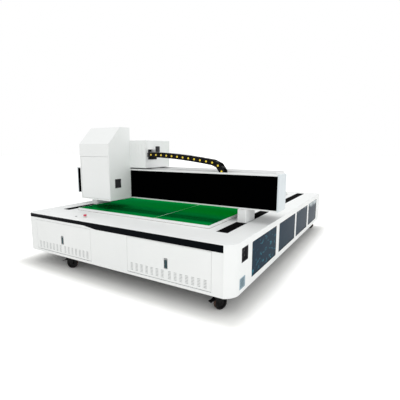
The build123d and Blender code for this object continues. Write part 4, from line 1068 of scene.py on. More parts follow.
@dataclass
class Cabinet:
    """The long cabinet: sheets, doors with louvres, band, windows, sockets and grille."""

    rim: float = 4.0 * MM
    fold: float = 1.0 * MM
    louvre_wide: float = 30.0 * MM
    louvre_high: float = 6.0 * MM
    louvre_deep: float = 6.5 * MM
    sheet: float = 1.5 * MM
    door_x: float = 0.7295
    group_x: float = 0.226
    louvre_z: float = 0.252
    rear_louvre_z: float = 0.430
    pitch_x: float = 0.0617
    pitch_z: float = 0.0135
    columns: int = 7
    rows: int = 6
    window_spans: tuple[tuple[float, float], ...] = (
        (0.427, 1.169), (1.279, 1.998), (2.070, 2.740), (2.830, 3.440))
    window_z: tuple[float, float] = (0.220, 0.557)
    gasket: float = 5.0 * MM
    gasket_round: float = 14.0 * MM
    socket_deep: float = 24.0 * MM
    socket_spread: tuple[float, float] = (30.0 * MM, 25.0 * MM)
    pin_circle: float = 4.5 * MM
    bezel: float = 3.0 * MM
    latch_half: float = 16.2 * MM
    latch_z: tuple[float, float] = (0.3097, 0.4023)
    seam_from_front: float = 0.985
    seam_start: float = 1.176

    def build(self) -> None:
        """Builds the cabinet's pieces and dresses its nodes."""
        self.sheets()
        for hand in Hand:
            door = f"door_{hand.word}"
            middles = [hand.value * self.door_x + group * self.group_x for group in (-1, 1)]
            self.louvres(hand.word, middles, self.louvre_z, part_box(door)[0].y, FACE_FRONT, door)
            self.window_gaskets(hand)
        self.louvres("rear", [-self.door_x, self.door_x], self.rear_louvre_z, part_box("rear_panel")[1].y,
                     FACE_BACK, "base")
        self.table_seam()
        self.sockets()
        self.latch_bezels()
        for finish, nodes in ((PRIMER_AND_UNDERSIDE_SHADE, ("base_frame", "bottom_pan")),
                              (WINDOW, ("windows_left", "windows_right")),
                              (STEEL, ("y_rails", "y_magnet_tracks"))):
            for node in nodes:
                dress(node, finish)

    def sheets(self) -> None:
        """Rounds the edges of the sheet parts."""
        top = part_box("table_top")[1].z
        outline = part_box("table_top")

        def on_rim(edge: bmesh.types.BMEdge) -> bool:
            """Whether an edge lies on the table's outer upper rim.

            Args:
                edge: the edge to judge.

            Returns:
                True for such an edge.
            """
            ends = [vert.co for vert in edge.verts]
            high = all(abs(end.z - top) < 0.1 * MM for end in ends)
            corner_reach = 0.12
            outside = all(
                abs(end.x) > outline[1].x - corner_reach or end.y < outline[0].y + corner_reach
                or end.y > outline[1].y - corner_reach for end in ends)
            return high and outside

        def on_front_edge(face: bmesh.types.BMFace) -> bool:
            """Whether a face is the flat part of the table's front edge, which the band covers."""
            return face.normal.y < -0.9 and face.calc_center_median().y < outline[0].y + 0.5 * MM

        Softened("table_top", PAINT, width=self.rim, segments=4, chosen=on_rim, limit=20,
                 second=BAND_BLACK, on_second=on_front_edge).build()
        soften(PAINT, 0.6 * MM, "front_frame", "rear_panel", "side_frame_left", "side_frame_right")
        soften(PAINT, self.fold, "door_left", "door_right", "corner_left", "corner_right")
        soften(BAND_BLACK, 0.6 * MM, "front_band")
        soften(BLACK_PLASTIC, 0.8 * MM, "socket_panel")
        soften(GRILLE, 0.5 * MM, "vent_grille")
        soften(LATCH_GLOSS, 0.8 * MM, "latch_paddle_left", "latch_paddle_right")

    def blade(self) -> bpy.types.Object:
        """A blade pressed inward behind one slit, with its cheeks, its slit on the XY plane.

        Returns:
            The pattern piece, outer side up and its upper edge along +Y.
        """
        form = bmesh.new()
        half = self.louvre_wide / 2 + 0.2 * MM
        reach = self.louvre_high / 2 + 0.2 * MM
        near = -self.sheet - 0.1 * MM
        deep = -self.louvre_deep
        low_left, low_right = (form.verts.new((x, -reach, near)) for x in (-half, half))
        back_right, back_left = (form.verts.new((x, reach, deep)) for x in (half, -half))
        top_left, top_right = (form.verts.new((x, reach, near)) for x in (-half, half))
        form.faces.new((low_left, low_right, back_right, back_left))
        form.faces.new((low_left, back_left, top_left))
        form.faces.new((low_right, top_right, back_right))
        made = from_bmesh("blade_pattern", form, [BLADE_PAINTED_SHADE])
        wall = made.modifiers.new("wall", "SOLIDIFY")
        wall.thickness = 0.6 * MM
        wall.offset = -1.0
        return bake_down(made)

    def louvres(self, word: str, middles: Sequence[float], z: float, face: float, turn: Point,
                body: str) -> None:
        """Lays the blades behind groups of slits.

        Args:
            word: which sheet, for the piece's name.
            middles: the X of each group's middle.
            z: the Z of the groups' middle.
            face: the Y of the sheet's outer face.
            turn: how a blade turns to face outward.
            body: the body that the sheet belongs to.
        """
        pattern = self.blade()
        places = []
        for middle in middles:
            for column in range(self.columns):
                x = middle + (column - (self.columns - 1) / 2) * self.pitch_x
                for row in range(self.rows):
                    places.append(((x, face, z + (row - (self.rows - 1) / 2) * self.pitch_z), turn))
        made = COPIES.lay(f"louvre_blades_{word}", pattern, places, BLADE_PAINTED_SHADE)
        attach(made, body)
        drop(pattern)
        log.info("laid %d blades, %s", len(places), word)

    def window_gaskets(self, hand: Hand) -> None:
        """Adds a rubber gasket round each pane of one side.

        Args:
            hand: which side.
        """
        form = bmesh.new()
        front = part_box("table_top")[0].y
        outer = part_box("table_top")[1].x * hand.value
        radius = self.gasket_round
        inner_x = outer - hand.value * 2.9 * MM
        outer_x = outer - hand.value * 0.6 * MM
        for near, far in self.window_spans:
            rings = []
            for inset, x in ((0.0, inner_x), (0.0, outer_x), (self.gasket, outer_x - hand.value * 0.8 * MM),
                             (self.gasket, inner_x)):
                rings.append(self.rounded_ring(
                    form, x, front + near + inset, front + far - inset, self.window_z[0] + inset,
                    self.window_z[1] - inset, radius - inset))
            bridge(form, rings + rings[:1])
        riding(f"window_gaskets_{hand.word}", form, [GASKET], "base")

    @staticmethod
    def rounded_ring(form: bmesh.types.BMesh, x: float, y0: float, y1: float, z0: float, z1: float,
                     radius: float) -> list[bmesh.types.BMVert]:
        """Adds the vertices of a rounded rectangle at one X.

        Args:
            form: the bmesh to add to.
            x: the ring's X.
            y0: near side.
            y1: far side.
            z0: lower side.
            z1: upper side.
            radius: the corner radius.

        Returns:
            The ring's vertices in order.
        """
        ring = []
        steps = 6
        corners = ((y1 - radius, z1 - radius, 0.0), (y0 + radius, z1 - radius, 90.0),
                   (y0 + radius, z0 + radius, 180.0), (y1 - radius, z0 + radius, 270.0))
        for y, z, start in corners:
            for step in range(steps + 1):
                angle = math.radians(start + 90.0 * step / steps)
                ring.append(form.verts.new((x, y + radius * math.cos(angle), z + radius * math.sin(angle))))
        return ring

    def table_seam(self) -> None:
        """Adds the fine joint across the table beside each slot."""
        form = bmesh.new()
        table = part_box("table_top")
        seam_y = table[0].y + self.seam_from_front
        for side in (-1, 1):
            ends = sorted((side * self.seam_start, side * (table[1].x - 5.0 * MM)))
            loose_box(form, (ends[0], seam_y - 0.6 * MM, table[1].z - 0.3 * MM),
                      (ends[1], seam_y + 0.6 * MM, table[1].z + 0.05 * MM))
        riding("table_seams", form, [SEAM], "base")

    def sockets(self) -> None:
        """Adds the flanges and pins of the four inlets in the socket panel."""
        form = bmesh.new()
        low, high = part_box("socket_panel")
        middle_y = (low.y + high.y) / 2
        middle_z = (low.z + high.z) / 2
        seat = high.x - self.socket_deep
        half_y, half_z = self.socket_spread
        for y in (middle_y - half_y, middle_y + half_y):
            for z in (middle_z - half_z, middle_z + half_z):
                ring = ((0.0, 13.0 * MM), (4.0 * MM, 13.0 * MM), (5.0 * MM, 12.0 * MM),
                        (5.0 * MM, 8.5 * MM), (1.0 * MM, 8.5 * MM), (1.0 * MM, 0.0))
                turned(form, ring, (seat, y, z), Vector((1, 0, 0)), 20)
                for pin in range(4):
                    angle = math.radians(45 + 90 * pin)
                    spot = (seat + 0.9 * MM, y + self.pin_circle * math.cos(angle),
                            z + self.pin_circle * math.sin(angle))
                    turned(form, ((0.0, 1.0 * MM), (3.0 * MM, 1.0 * MM), (3.4 * MM, 0.0)), spot,
                           Vector((1, 0, 0)), 8, index=1)
        riding("socket_inlets", form, [BLACK_PLASTIC, BRIGHT_STEEL], "base")

    def latch_bezels(self) -> None:
        """Adds the thin frame round each paddle latch."""
        for hand in Hand:
            x = hand.value * self.door_x
            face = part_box(f"door_{hand.word}")[0].y
            form = bmesh.new()
            edge = self.bezel
            x0, x1 = x - self.latch_half, x + self.latch_half
            z0, z1 = self.latch_z
            bars = ((x0 - edge, x0, z0 - edge, z1 + edge), (x1, x1 + edge, z0 - edge, z1 + edge),
                    (x0, x1, z0 - edge, z0), (x0, x1, z1, z1 + edge))
            for left, right, bottom, top in bars:
                bevelled_box(form, (left, face - 1.5 * MM, bottom), (right, face + 0.3 * MM, top), 0.4 * MM)
            riding(f"latch_bezel_{hand.word}", form, [BLACK_PLASTIC], f"door_{hand.word}")


@dataclass
class Bed:
    """The raised bed: tray with a brown strip painted as the shadow line along its foot, and the green
    sheets.
    """

    strip_wide: float = 2.0 * MM
    strip_high: float = 2.0 * MM
    joint_x: float = 0.265
    joint_wide: float = 6.0 * MM

    def build(self) -> None:
        """Builds the painted shadow strip and dresses the bed."""
        Softened("bed_plate", PAINT, width=1.5 * MM, segments=3).build()
        soften(BED_GREEN, 0.5 * MM, "bed_sheets")
        low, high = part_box("bed_plate")
        form = bmesh.new()
        ring = ((low.x, low.y), (high.x, low.y), (high.x, high.y), (low.x, high.y))
        for (x0, y0), (x1, y1) in zip(ring, ring[1:] + ring[:1]):
            grown = self.strip_wide
            bevelled_box(
                form, (min(x0, x1) - grown, min(y0, y1) - grown, low.z),
                (max(x0, x1) + grown, max(y0, y1) + grown, low.z + self.strip_high), 0.5 * MM)
        # a painted shadow strip round the foot of the bed
        riding("bed_edge_strip", form, [BED_FOOT_PAINTED_SHADOW], "base")
        log.info("laid the strip round the bed")
        self.joint()

    def joint(self) -> None:
        """Adds the pale strip over the joint of the two sheets."""
        low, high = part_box("bed_sheets")
        form = bmesh.new()
        bevelled_box(form, (self.joint_x - self.joint_wide / 2, low.y + 1.0 * MM, high.z - 1.0 * MM),
                     (self.joint_x + self.joint_wide / 2, high.y - 1.0 * MM, high.z + 0.3 * MM), 0.2 * MM)
        riding("bed_joint", form, [BED_SEAM], "base")


@dataclass
class Bellows:
    """Pleated covers over the slots, made by a rule from their length and number of folds."""

    folds: int = 60
    side: float = 28.4 * MM
    skin: float = 1.4 * MM

    def tree(self) -> bpy.types.NodeTree:
        """Builds the pleat tree on its first use.

        Returns:
            The tree with the inputs Length, Width, Start, Middle, Crest, Depth, Folds and Finish.
        """
        found = bpy.data.node_groups.get("pleats")
        if found:
            return found
        sizes = {label: FLOAT for label in ("Length", "Width", "Start", "Middle", "Crest", "Depth")}
        made = new_geometry("pleats", {**sizes, "Folds": "NodeSocketInt"})
        taken = made.taken
        grid = made.fed("GeometryNodeMeshGrid", {
            "Size X": taken["Width"], "Size Y": taken["Length"], "Vertices X": 3,
            "Vertices Y": made.maths("MULTIPLY_ADD", taken["Folds"], 4.0, 1.0)})
        place = made.axes(made.node("GeometryNodeInputPosition").outputs[0])
        share = made.maths("ADD", made.maths("DIVIDE", place["Y"], taken["Length"]), 0.5)
        wave = made.maths("PINGPONG", made.maths("MULTIPLY", share, taken["Folds"]), 0.5)
        ridge = made.maths("SUBTRACT", made.maths("MULTIPLY", wave, 2.0), 1.0)
        along = made.maths("ADD", made.maths("ADD", place["Y"], taken["Start"]),
                           made.maths("MULTIPLY", taken["Length"], 0.5))
        folded = made.fed("ShaderNodeCombineXYZ", {
            "X": made.maths("ADD", place["X"], taken["Middle"]), "Y": along,
            "Z": made.maths("MULTIPLY_ADD", ridge, taken["Depth"], taken["Crest"])})
        put = made.fed("GeometryNodeSetPosition", {
            "Geometry": grid.outputs["Mesh"], "Position": folded.outputs[0]})
        return end_geometry(made, put.outputs["Geometry"])

    def build(self) -> None:
        """Builds the four covers between the table and the gantry."""
        for hand in Hand:
            for place in ("front", "rear"):
                self.cover(place, hand)

    def cover(self, place: str, hand: Hand) -> None:
        """Builds one cover.

        Args:
            place: front or rear of the leg.
            hand: which slot.
        """
        node = f"bellows_{place}_{hand.word}"
        low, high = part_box(node)
        length = high.y - low.y
        fold = length / self.folds / 2
        depth = math.sqrt(self.side**2 - fold**2)
        mesh = bpy.data.meshes.new(node)
        made = as_object(node + "_cloth", mesh, [BELLOWS_CLOTH])
        modifier = made.modifiers.new("pleats", "NODES")
        set_inputs(modifier, self.tree(), {
            "Length": length, "Width": high.x - low.x, "Start": low.y, "Middle": (low.x + high.x) / 2,
            "Crest": high.z - 0.2 * MM, "Depth": depth, "Folds": self.folds,
            "Finish": BELLOWS_CLOTH.make()})
        wall = made.modifiers.new("wall", "SOLIDIFY")
        wall.thickness = self.skin
        wall.offset = -1.0
        bake_down(made)
        made.data.shade_flat()
        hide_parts(node)
        if place == "front":
            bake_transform(made)
        else:
            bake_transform(made)
        log.info("folded %s", node)


@dataclass
class Controls:
    """Emergency stop and start button on the table."""

    def build(self) -> None:
        """Dresses the controls and adds the start button's ring."""
        dress("estop_base", COLLAR)
        dress("estop_button", RED)
        dress("start_button", PALE_BUTTON)
        low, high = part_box("start_button")
        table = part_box("table_top")[1].z
        middle = ((low.x + high.x) / 2, (low.y + high.y) / 2, table)
        form = bmesh.new()
        ring = ((0.0, 11.3 * MM), (0.0, 16.0 * MM), (1.2 * MM, 16.0 * MM), (2.2 * MM, 14.5 * MM),
                (2.2 * MM, 11.3 * MM), (0.0, 11.3 * MM))
        turned(form, ring, middle, Vector((0, 0, 1)), 32)
        bmesh.ops.remove_doubles(form, verts=form.verts, dist=0.01 * MM)
        riding("start_button_ring", form, [BRIGHT_STEEL], "base")


@dataclass
class Casters:
    """Four casters: tyre and hub as turned pieces, pressed fork, plate bolts and pedals."""

    radius: float = 62.0 * MM
    wide: float = 36.0 * MM
    bore: float = 6.1 * MM
    bolt_x: float = 40.0 * MM
    bolt_y: float = 33.0 * MM
    corners: tuple[str, ...] = ("front_left", "front_right", "rear_left", "rear_right")
    bolts: list[tuple[Point, Point]] = field(default_factory=list)

    def build(self) -> None:
        """Builds the wheels and dresses the rest."""
        dress("caster_plates", BLACK_STEEL)
        joints = {joint["name"]: joint for joint in frame["joints"]}
        for corner in self.corners:
            soften(BLACK_STEEL, 0.8 * MM, f"caster_fork_{corner}")
            if corner.startswith("front"):
                soften(BLACK_STEEL, 1.0 * MM, f"caster_pedal_{corner}")
            roll = joints[f"roll_{corner}"]
            self.wheel(corner, Vector(roll["pos_m"]), Vector(roll["axis"]))
            king = Vector(joints[f"swivel_{corner}"]["pos_m"])
            self.plate_bolts(king)
        pattern = socket_screw(5.5 * MM, 4.0 * MM)
        made = COPIES.lay("caster_bolts", pattern, self.bolts, BRIGHT_STEEL)
        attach(made, "base")
        drop(pattern)

    def wheel(self, corner: str, at: Vector, axis: Vector) -> None:
        """Builds one wheel's tyre and hub in one piece with two finishes.

        Args:
            corner: which caster.
            at: the wheel's centre.
            axis: its axle's direction.
        """
        form = bmesh.new()
        half = self.wide / 2
        shoulder = 8.0 * MM
        round_off = []
        for step in range(7):
            angle = math.radians(180 - 15 * step)
            round_off.append((-half + shoulder + shoulder * math.cos(angle),
                              self.radius - shoulder + shoulder * math.sin(angle)))
        wall = [(-half, 48.0 * MM)] + round_off[:4]
        tread = round_off[3:] + [(-far, radius) for far, radius in reversed(round_off[3:])]
        other_wall = [(-far, radius) for far, radius in reversed(wall)]
        turned(form, tread, at, axis, 48, index=0)
        for part in (wall, other_wall, [other_wall[-1], wall[0]]):
            turned(form, part, at, axis, 48, index=1)
        hub = [(-half + 0.3 * MM, 48.2 * MM), (-half + 1.0 * MM, 45.0 * MM), (-6.0 * MM, 41.0 * MM),
               (-6.0 * MM, 21.0 * MM), (-half - 2.0 * MM, 17.0 * MM), (-half - 4.0 * MM, 15.0 * MM),
               (-half - 4.0 * MM, self.bore)]
        hub += [(-far, radius) for far, radius in reversed(hub)]
        hub.append(hub[0])
        turned(form, hub, at, axis, 48, index=1)
        bmesh.ops.remove_doubles(form, verts=form.verts, dist=0.01 * MM)
        made = from_bmesh(f"wheel_tyre_{corner}", form, [TREAD, BLACK_STEEL])
        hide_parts(f"caster_wheel_{corner}")
        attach(made, f"wheel_{corner}")
        log.info("turned the wheel %s", corner)

    def plate_bolts(self, king: Vector) -> None:
        """Notes the places of the four bolts below one plate.

        Args:
            king: the place of the caster's swivel axis.
        """
        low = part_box("caster_plates")[0].z
        for x in (-self.bolt_x, self.bolt_x):
            for y in (-self.bolt_y, self.bolt_y):
                self.bolts.append(((king.x + x, king.y + y, low), FACE_DOWN))


@dataclass
class ChainPath:
    """Pins of the cable chain along its path, from the head to the fixed end."""

    pitch: float = 78.0 * MM
    radius: float = 150.0 * MM
    start_x: float = -134.0 * MM
    start_z: float = 1320.0 * MM
    top_pitches: int = 11
    droop: float = 78.0 * MM
    power: float = 1.75
    floor_links: int = 7

    def pins(self) -> list[tuple[float, float]]:
        """Works out the pins.

        Returns:
            Pairs of X and Z from the head to the fixed end.
        """
        run = self.top_pitches * self.pitch
        lean = math.atan(self.droop * self.power / run)
        found = []
        for step in range(self.top_pitches + 1):
            share = step / self.top_pitches
            found.append((self.start_x + share * run, self.start_z - self.droop * share**self.power))
        bend_x = found[-1][0] - self.radius * math.sin(lean)
        bend_z = found[-1][1] - self.radius * math.cos(lean)
        turn = 2 * math.asin(self.pitch / 2 / self.radius)
        angle = math.pi / 2 - lean
        while angle - turn > -math.pi / 2:
            angle -= turn
            found.append((bend_x + self.radius * math.cos(angle), bend_z + self.radius * math.sin(angle)))
        floor = bend_z - self.radius
        reach = math.sqrt(self.pitch**2 - (found[-1][1] - floor) ** 2)
        found.append((found[-1][0] - reach, floor))
        for _ in range(self.floor_links):
            found.append((found[-1][0] - self.pitch, floor))
        return found

    def shares(self, pins: Sequence[tuple[float, float]]) -> list[float]:
        """The share of the head's travel given to each link.

        Args:
            pins: the path's pins.

        Returns:
            One at the head, a half in the bend and nothing at the fixed end.
        """
        count = len(pins) - 1
        bend_end = count - self.floor_links - 1
        found = []
        for link in range(count):
            if link < self.top_pitches:
                found.append(1.0 - 0.5 * (link + 0.5) / self.top_pitches)
            elif link < bend_end:
                found.append(0.5)
            else:
                found.append(0.5 * (count - 1 - link) / (count - bend_end))
        return found


@dataclass
class Chain:
    """The cable chain, link by link, each with plates, bars and its pins."""

    path: ChainPath = field(default_factory=ChainPath)
    y: float = -0.921
    wide: float = 90.0 * MM
    high: float = 60.0 * MM
    plate: float = 4.0 * MM
    play: float = 0.5 * MM
    boss: float = 11.5 * MM
    far: float = 1000.0

    def build(self) -> None:
        """Builds every link; a link with a share of one rides with the head, one with none with the gantry,
        and the rest stay in place.
        """
        pins = self.path.pins()
        shares = self.path.shares(pins)
        outer = self.link_pattern(0)
        inner = self.link_pattern(1)
        for index in range(len(pins) - 1):
            (x0, z0), (x1, z1) = pins[index], pins[index + 1]
            pattern = inner if index % 2 else outer
            mesh = pattern.data.copy()
            angle = math.atan2(z1 - z0, x1 - x0)
            place = Matrix.Translation(((x0 + x1) / 2, self.y, (z0 + z1) / 2))
            mesh.transform(place @ Matrix.Rotation(-angle, 4, "Y"))
            made = as_object(f"chain_link_{index:02d}", mesh, [NYLON, YELLOW])
            if index == 0:
                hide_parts("cable_chain")
            self.follow(made, shares[index])
        drop(outer)
        drop(inner)
        log.info("linked %d links", len(pins) - 1)

    def follow(self, made: bpy.types.Object, share: float) -> None:
        """Puts a whole link on the head at a share of one, on the gantry at none, and otherwise leaves it
        in place.

        Args:
            made: the link.
            share: from 0, with the gantry, to 1, with the head.
        """
        if share >= 1.0:
            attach(made, "head")
            return
        if share <= 0.0:
            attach(made, "gantry")
            return
        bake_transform(made)

    def link_pattern(self, kind: int) -> bpy.types.Object:
        """Makes one link around the origin, its pins on the X axis.

        Args:
            kind: 0 for an outer link, 1 for an inner one.

        Returns:
            The pattern piece.
        """
        form = bmesh.new()
        half = self.path.pitch / 2
        reach = self.wide / 2 - (self.plate + self.play) * kind
        for side in (-1, 1):
            outer = side * reach
            inner = side * (reach - self.plate)
            self.slot_plate(form, half, min(outer, inner), max(outer, inner))
            if kind == 0:
                for end in (-1, 1):
                    boss = ((-self.plate - 1.0 * MM, self.boss), (0.6 * MM, self.boss),
                            (1.2 * MM, self.boss - 1.0 * MM), (1.2 * MM, 0.0))
                    turned(form, boss, (end * half, outer, 0.0), Vector((0, side, 0)), 16, index=1)
        for z in (-self.high / 2 + self.plate, self.high / 2 - self.plate):
            bevelled_box(form, (-15.0 * MM, -reach + self.plate, z - 2.5 * MM),
                         (15.0 * MM, reach - self.plate, z + 2.5 * MM), 0.8 * MM)
            for y in (-reach + 12.0 * MM, reach - 12.0 * MM):
                bevelled_box(form, (-11.0 * MM, y - 5.0 * MM, z - 3.3 * MM),
                             (11.0 * MM, y + 5.0 * MM, z + 3.3 * MM), 0.6 * MM)
        return from_bmesh(f"link_pattern_{kind}", form, [NYLON, YELLOW])

    def slot_plate(self, form: bmesh.types.BMesh, half: float, y0: float, y1: float) -> None:
        """Adds a plate with round ends and a rounded rim.

        Args:
            form: the bmesh to add to.
            half: half the distance between the ends' centres.
            y0: its one face.
            y1: its other face.
        """
        steps = 10
        rim = 0.7 * MM
        layers = ((y0, rim), (y0 + rim, 0.0), (y1 - rim, 0.0), (y1, rim))
        rings = []
        for y, inset in layers:
            ring = []
            radius = self.high / 2 - inset
            for centre, start in ((half, -90.0), (-half, 90.0)):
                for step in range(steps + 1):
                    angle = math.radians(start + 180.0 * step / steps)
                    x, z = centre + radius * math.cos(angle), radius * math.sin(angle)
                    ring.append(form.verts.new((x, y, z)))
            rings.append(ring)
        bridge(form, rings)
        form.faces.new(rings[0])
        form.faces.new(rings[-1])


NEAR_END = 1.3


@dataclass
class Gantry:
    """Beam, fascia, black panel, caps, legs and rails."""

    cap_deep: float = 0.25
    beam_in: float = 0.07
    rails_in: float = 0.05
    shelf_cut: float = -0.80
    screws_along: int = 24
    screw_inset: float = 0.09
    cap_inset: float = 0.03

    def build(self) -> None:
        """Rounds and dresses the gantry and sets its screws."""
        # painted shade: the fascia's large underside wears the near-black primer, which stands for the
        # shade under the gantry
        Softened("gantry_fascia", PAINT, width=0.8 * MM, reshape=self.trim_shelf, second=PRIMER_AND_UNDERSIDE_SHADE,
                 on_second=lambda face: face.normal.z < -0.9 and face.calc_area() > 0.2).build()
        Softened("gantry_beam", PAINT, width=0.8 * MM, reshape=self.shorten(self.beam_in)).build()
        for hand in Hand:
            # the end caps wear the painted shade colour
            Softened(f"end_cap_{hand.word}", CAP_PAINTED_SHADE, width=0.8 * MM, reshape=self.trim_cap).build()
            soften(PAINT, 1.0 * MM, f"leg_{hand.word}")
            self.end_plate(hand)
        soften(PANEL_BLACK, 0.6 * MM, "gantry_front_panel")
        Softened("x_rails", COVER_STEEL, width=0.6 * MM, reshape=self.shorten(self.rails_in)).build()
        Softened("x_magnet_track", COVER_STEEL, width=0.6 * MM, reshape=self.shorten(self.rails_in)).build()
        self.rail_screws()
        self.cap_screws()

    @staticmethod
    def shorten(by: float) -> Callable[[bmesh.types.BMesh], None]:
        """A change that draws both ends of a long piece in.

        Args:
            by: how far each end moves.

        Returns:
            The change, for a Softened piece.
        """
        def change(form: bmesh.types.BMesh) -> None:
            """Moves the vertices near the ends.

            Args:
                form: the piece's bmesh.
            """
            for vert in form.verts:
                if abs(vert.co.x) > NEAR_END:
                    vert.co.x -= math.copysign(by, vert.co.x)
        return change

    def trim_shelf(self, form: bmesh.types.BMesh) -> None:
        """Draws the corners of the fascia's rear sheet in behind the caps.

        Args:
            form: the piece's bmesh.
        """
        bmesh.ops.bisect_plane(form, geom=form.verts[:] + form.edges[:] + form.faces[:],
                               plane_co=(0.0, self.shelf_cut, 0.0), plane_no=(0.0, 1.0, 0.0), dist=1e-6)
        for vert in form.verts:
            if vert.co.y > self.shelf_cut + 10.0 * MM and abs(vert.co.x) > NEAR_END:
                vert.co.x -= math.copysign(self.beam_in, vert.co.x)

    def trim_cap(self, form: bmesh.types.BMesh) -> None:
        """Brings the rear of an end cap forward to the depth that the photograph shows.

        Args:
            form: the piece's bmesh.
        """
        low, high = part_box("end_cap_left")
        for vert in form.verts:
            if vert.co.y > (low.y + high.y) / 2:
                vert.co.y -= high.y - low.y - self.cap_deep

    def end_plate(self, hand: Hand) -> None:
        """Closes one end of the beam by a painted plate.

        Args:
            hand: which end.
        """
        low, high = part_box("gantry_beam")
        form = bmesh.new()
        end = high.x - self.beam_in
        ends = sorted((hand.value * end, hand.value * (end + 2.0 * MM)))
        bevelled_box(form, (ends[0], low.y, low.z), (ends[1], high.y, high.z), 0.5 * MM)
        riding(f"beam_end_plate_{hand.word}", form, [PAINT], "gantry")

    def rail_screws(self) -> None:
        """Sets a screw head in the head's rails every 120 mm."""
        low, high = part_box("x_rails")
        pattern = socket_screw(4.2 * MM, 1.2 * MM)
        places = []
        for y in (low.y + 11.5 * MM, high.y - 11.5 * MM):
            for x in spaced(low.x + self.screw_inset, high.x - self.screw_inset, self.screws_along):
                places.append(((x, y, high.z - 0.6 * MM), FACE_UP))
        made = COPIES.lay("x_rail_screws", pattern, places, BRIGHT_STEEL)
        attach(made, "gantry")
        drop(pattern)

    def cap_screws(self) -> None:
        """Sets four flat screws in each end cap."""
        pattern = socket_screw(5.0 * MM, 1.0 * MM)
        places = []
        for hand in Hand:
            low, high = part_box(f"end_cap_{hand.word}")
            outer = high.x if hand is Hand.RIGHT else low.x
            turn = FACE_RIGHT if hand is Hand.RIGHT else FACE_LEFT
            for y in (low.y + self.cap_inset, low.y + self.cap_deep - self.cap_inset):
                for z in (low.z + self.cap_inset, high.z - self.cap_inset):
                    places.append(((outer - hand.value * 1.1 * MM, y, z), turn))
        made = COPIES.lay("end_cap_screws", pattern, places, CAP_PAINTED_SHADE)
        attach(made, "gantry")
        drop(pattern)


CLAMP_LEFT = -0.1955
CLAMP_Z = (1.2945, 1.3455)
BLOCK_LEFT = 30.0 * MM
BLOCK_NARROWER = 27.0 * MM
BLOCK_THINNER = 24.0 * MM
BACKING_X = (-0.385, -0.227)
BACKING_Z = (1.27, 1.47)


@dataclass
class Head:
    """Tower, its door and pull, rear housing, bracket, terminal block and optics."""

    ribs: int = 4

    def build(self) -> None:
        """Rounds and dresses the head's pieces."""
        Softened("tower_shell", PAINT, width=2.0 * MM, segments=3).build()
        soften(PAINT, 1.2 * MM, "tower_door")
        soften(PAINT, 1.0 * MM, "rear_housing")
        soften(BLACK_PLASTIC, 1.0 * MM, "cup_pull")
        Softened("chain_bracket", PAINT, width=0.6 * MM, second=BLACK_PLASTIC,
                 on_second=self.on_clamp).build()
        Softened("terminal_block", BLACK_PLASTIC, width=0.8 * MM, reshape=self.slim_block).build()
        soften(ALUMINIUM, 0.8 * MM, "head_carriage")
        soften(ALUMINIUM, 1.0 * MM, "laser_source", "scan_head")
        dress("scan_lens", BLACK_STEEL)
        self.terminal_ribs()
        self.lens_glass()
        self.vent_backing()

    @staticmethod
    def on_clamp(face: bmesh.types.BMFace) -> bool:
        """Whether a face belongs to the chain's clamp block on the bracket."""
        middle = face.calc_center_median()
        return middle.x > CLAMP_LEFT and CLAMP_Z[0] < middle.z < CLAMP_Z[1]

    @staticmethod
    def slim_block(form: bmesh.types.BMesh) -> None:
        """Makes the terminal block as narrow as the photograph shows it.

        Args:
            form: the piece's bmesh.
        """
        low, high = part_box("terminal_block")
        for vert in form.verts:
            on_right = vert.co.x > (low.x + high.x) / 2
            vert.co.x -= BLOCK_LEFT + (BLOCK_NARROWER if on_right else 0.0)
            if vert.co.y > (low.y + high.y) / 2:
                vert.co.y -= BLOCK_THINNER

    def vent_backing(self) -> None:
        """Adds the painted sheet close behind the housing's vents."""
        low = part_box("rear_housing")[0]
        form = bmesh.new()
        (x0, x1), (z0, z1) = BACKING_X, BACKING_Z
        loose_box(form, (x0, low.y + 3.2 * MM, z0), (x1, low.y + 4.2 * MM, z1))
        riding("vent_backing", form, [PAINT], "head")

    def terminal_ribs(self) -> None:
        """Adds the connector ribs on the terminal block's front."""
        low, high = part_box("terminal_block")
        form = bmesh.new()
        inset = 7.0 * MM
        ends = (low.x - BLOCK_LEFT + inset, high.x - BLOCK_LEFT - BLOCK_NARROWER - inset)
        for x in spaced(*ends, self.ribs):
            bevelled_box(form, (x - 3.0 * MM, low.y - 2.0 * MM, low.z + 8.0 * MM),
                         (x + 3.0 * MM, low.y + 1.0 * MM, high.z - 12.0 * MM), 0.6 * MM)
        riding("terminal_ribs", form, [BLACK_PLASTIC], "head")

    def lens_glass(self) -> None:
        """Adds the lens's bowed glass in the mount's lower end."""
        low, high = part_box("scan_lens")
        form = bmesh.new()
        middle = ((low.x + high.x) / 2, (low.y + high.y) / 2, low.z + 6.0 * MM)
        bow = [(0.3 * MM, 35.9 * MM)]
        for step in range(7):
            share = 1.0 - step / 6
            bow.append((-3.5 * MM * math.cos(share * math.pi / 2), 35.5 * MM * share))
        turned(form, bow, middle, Vector((0, 0, 1)), 40)
        riding("lens_glass", form, [LENS], "scan_head")


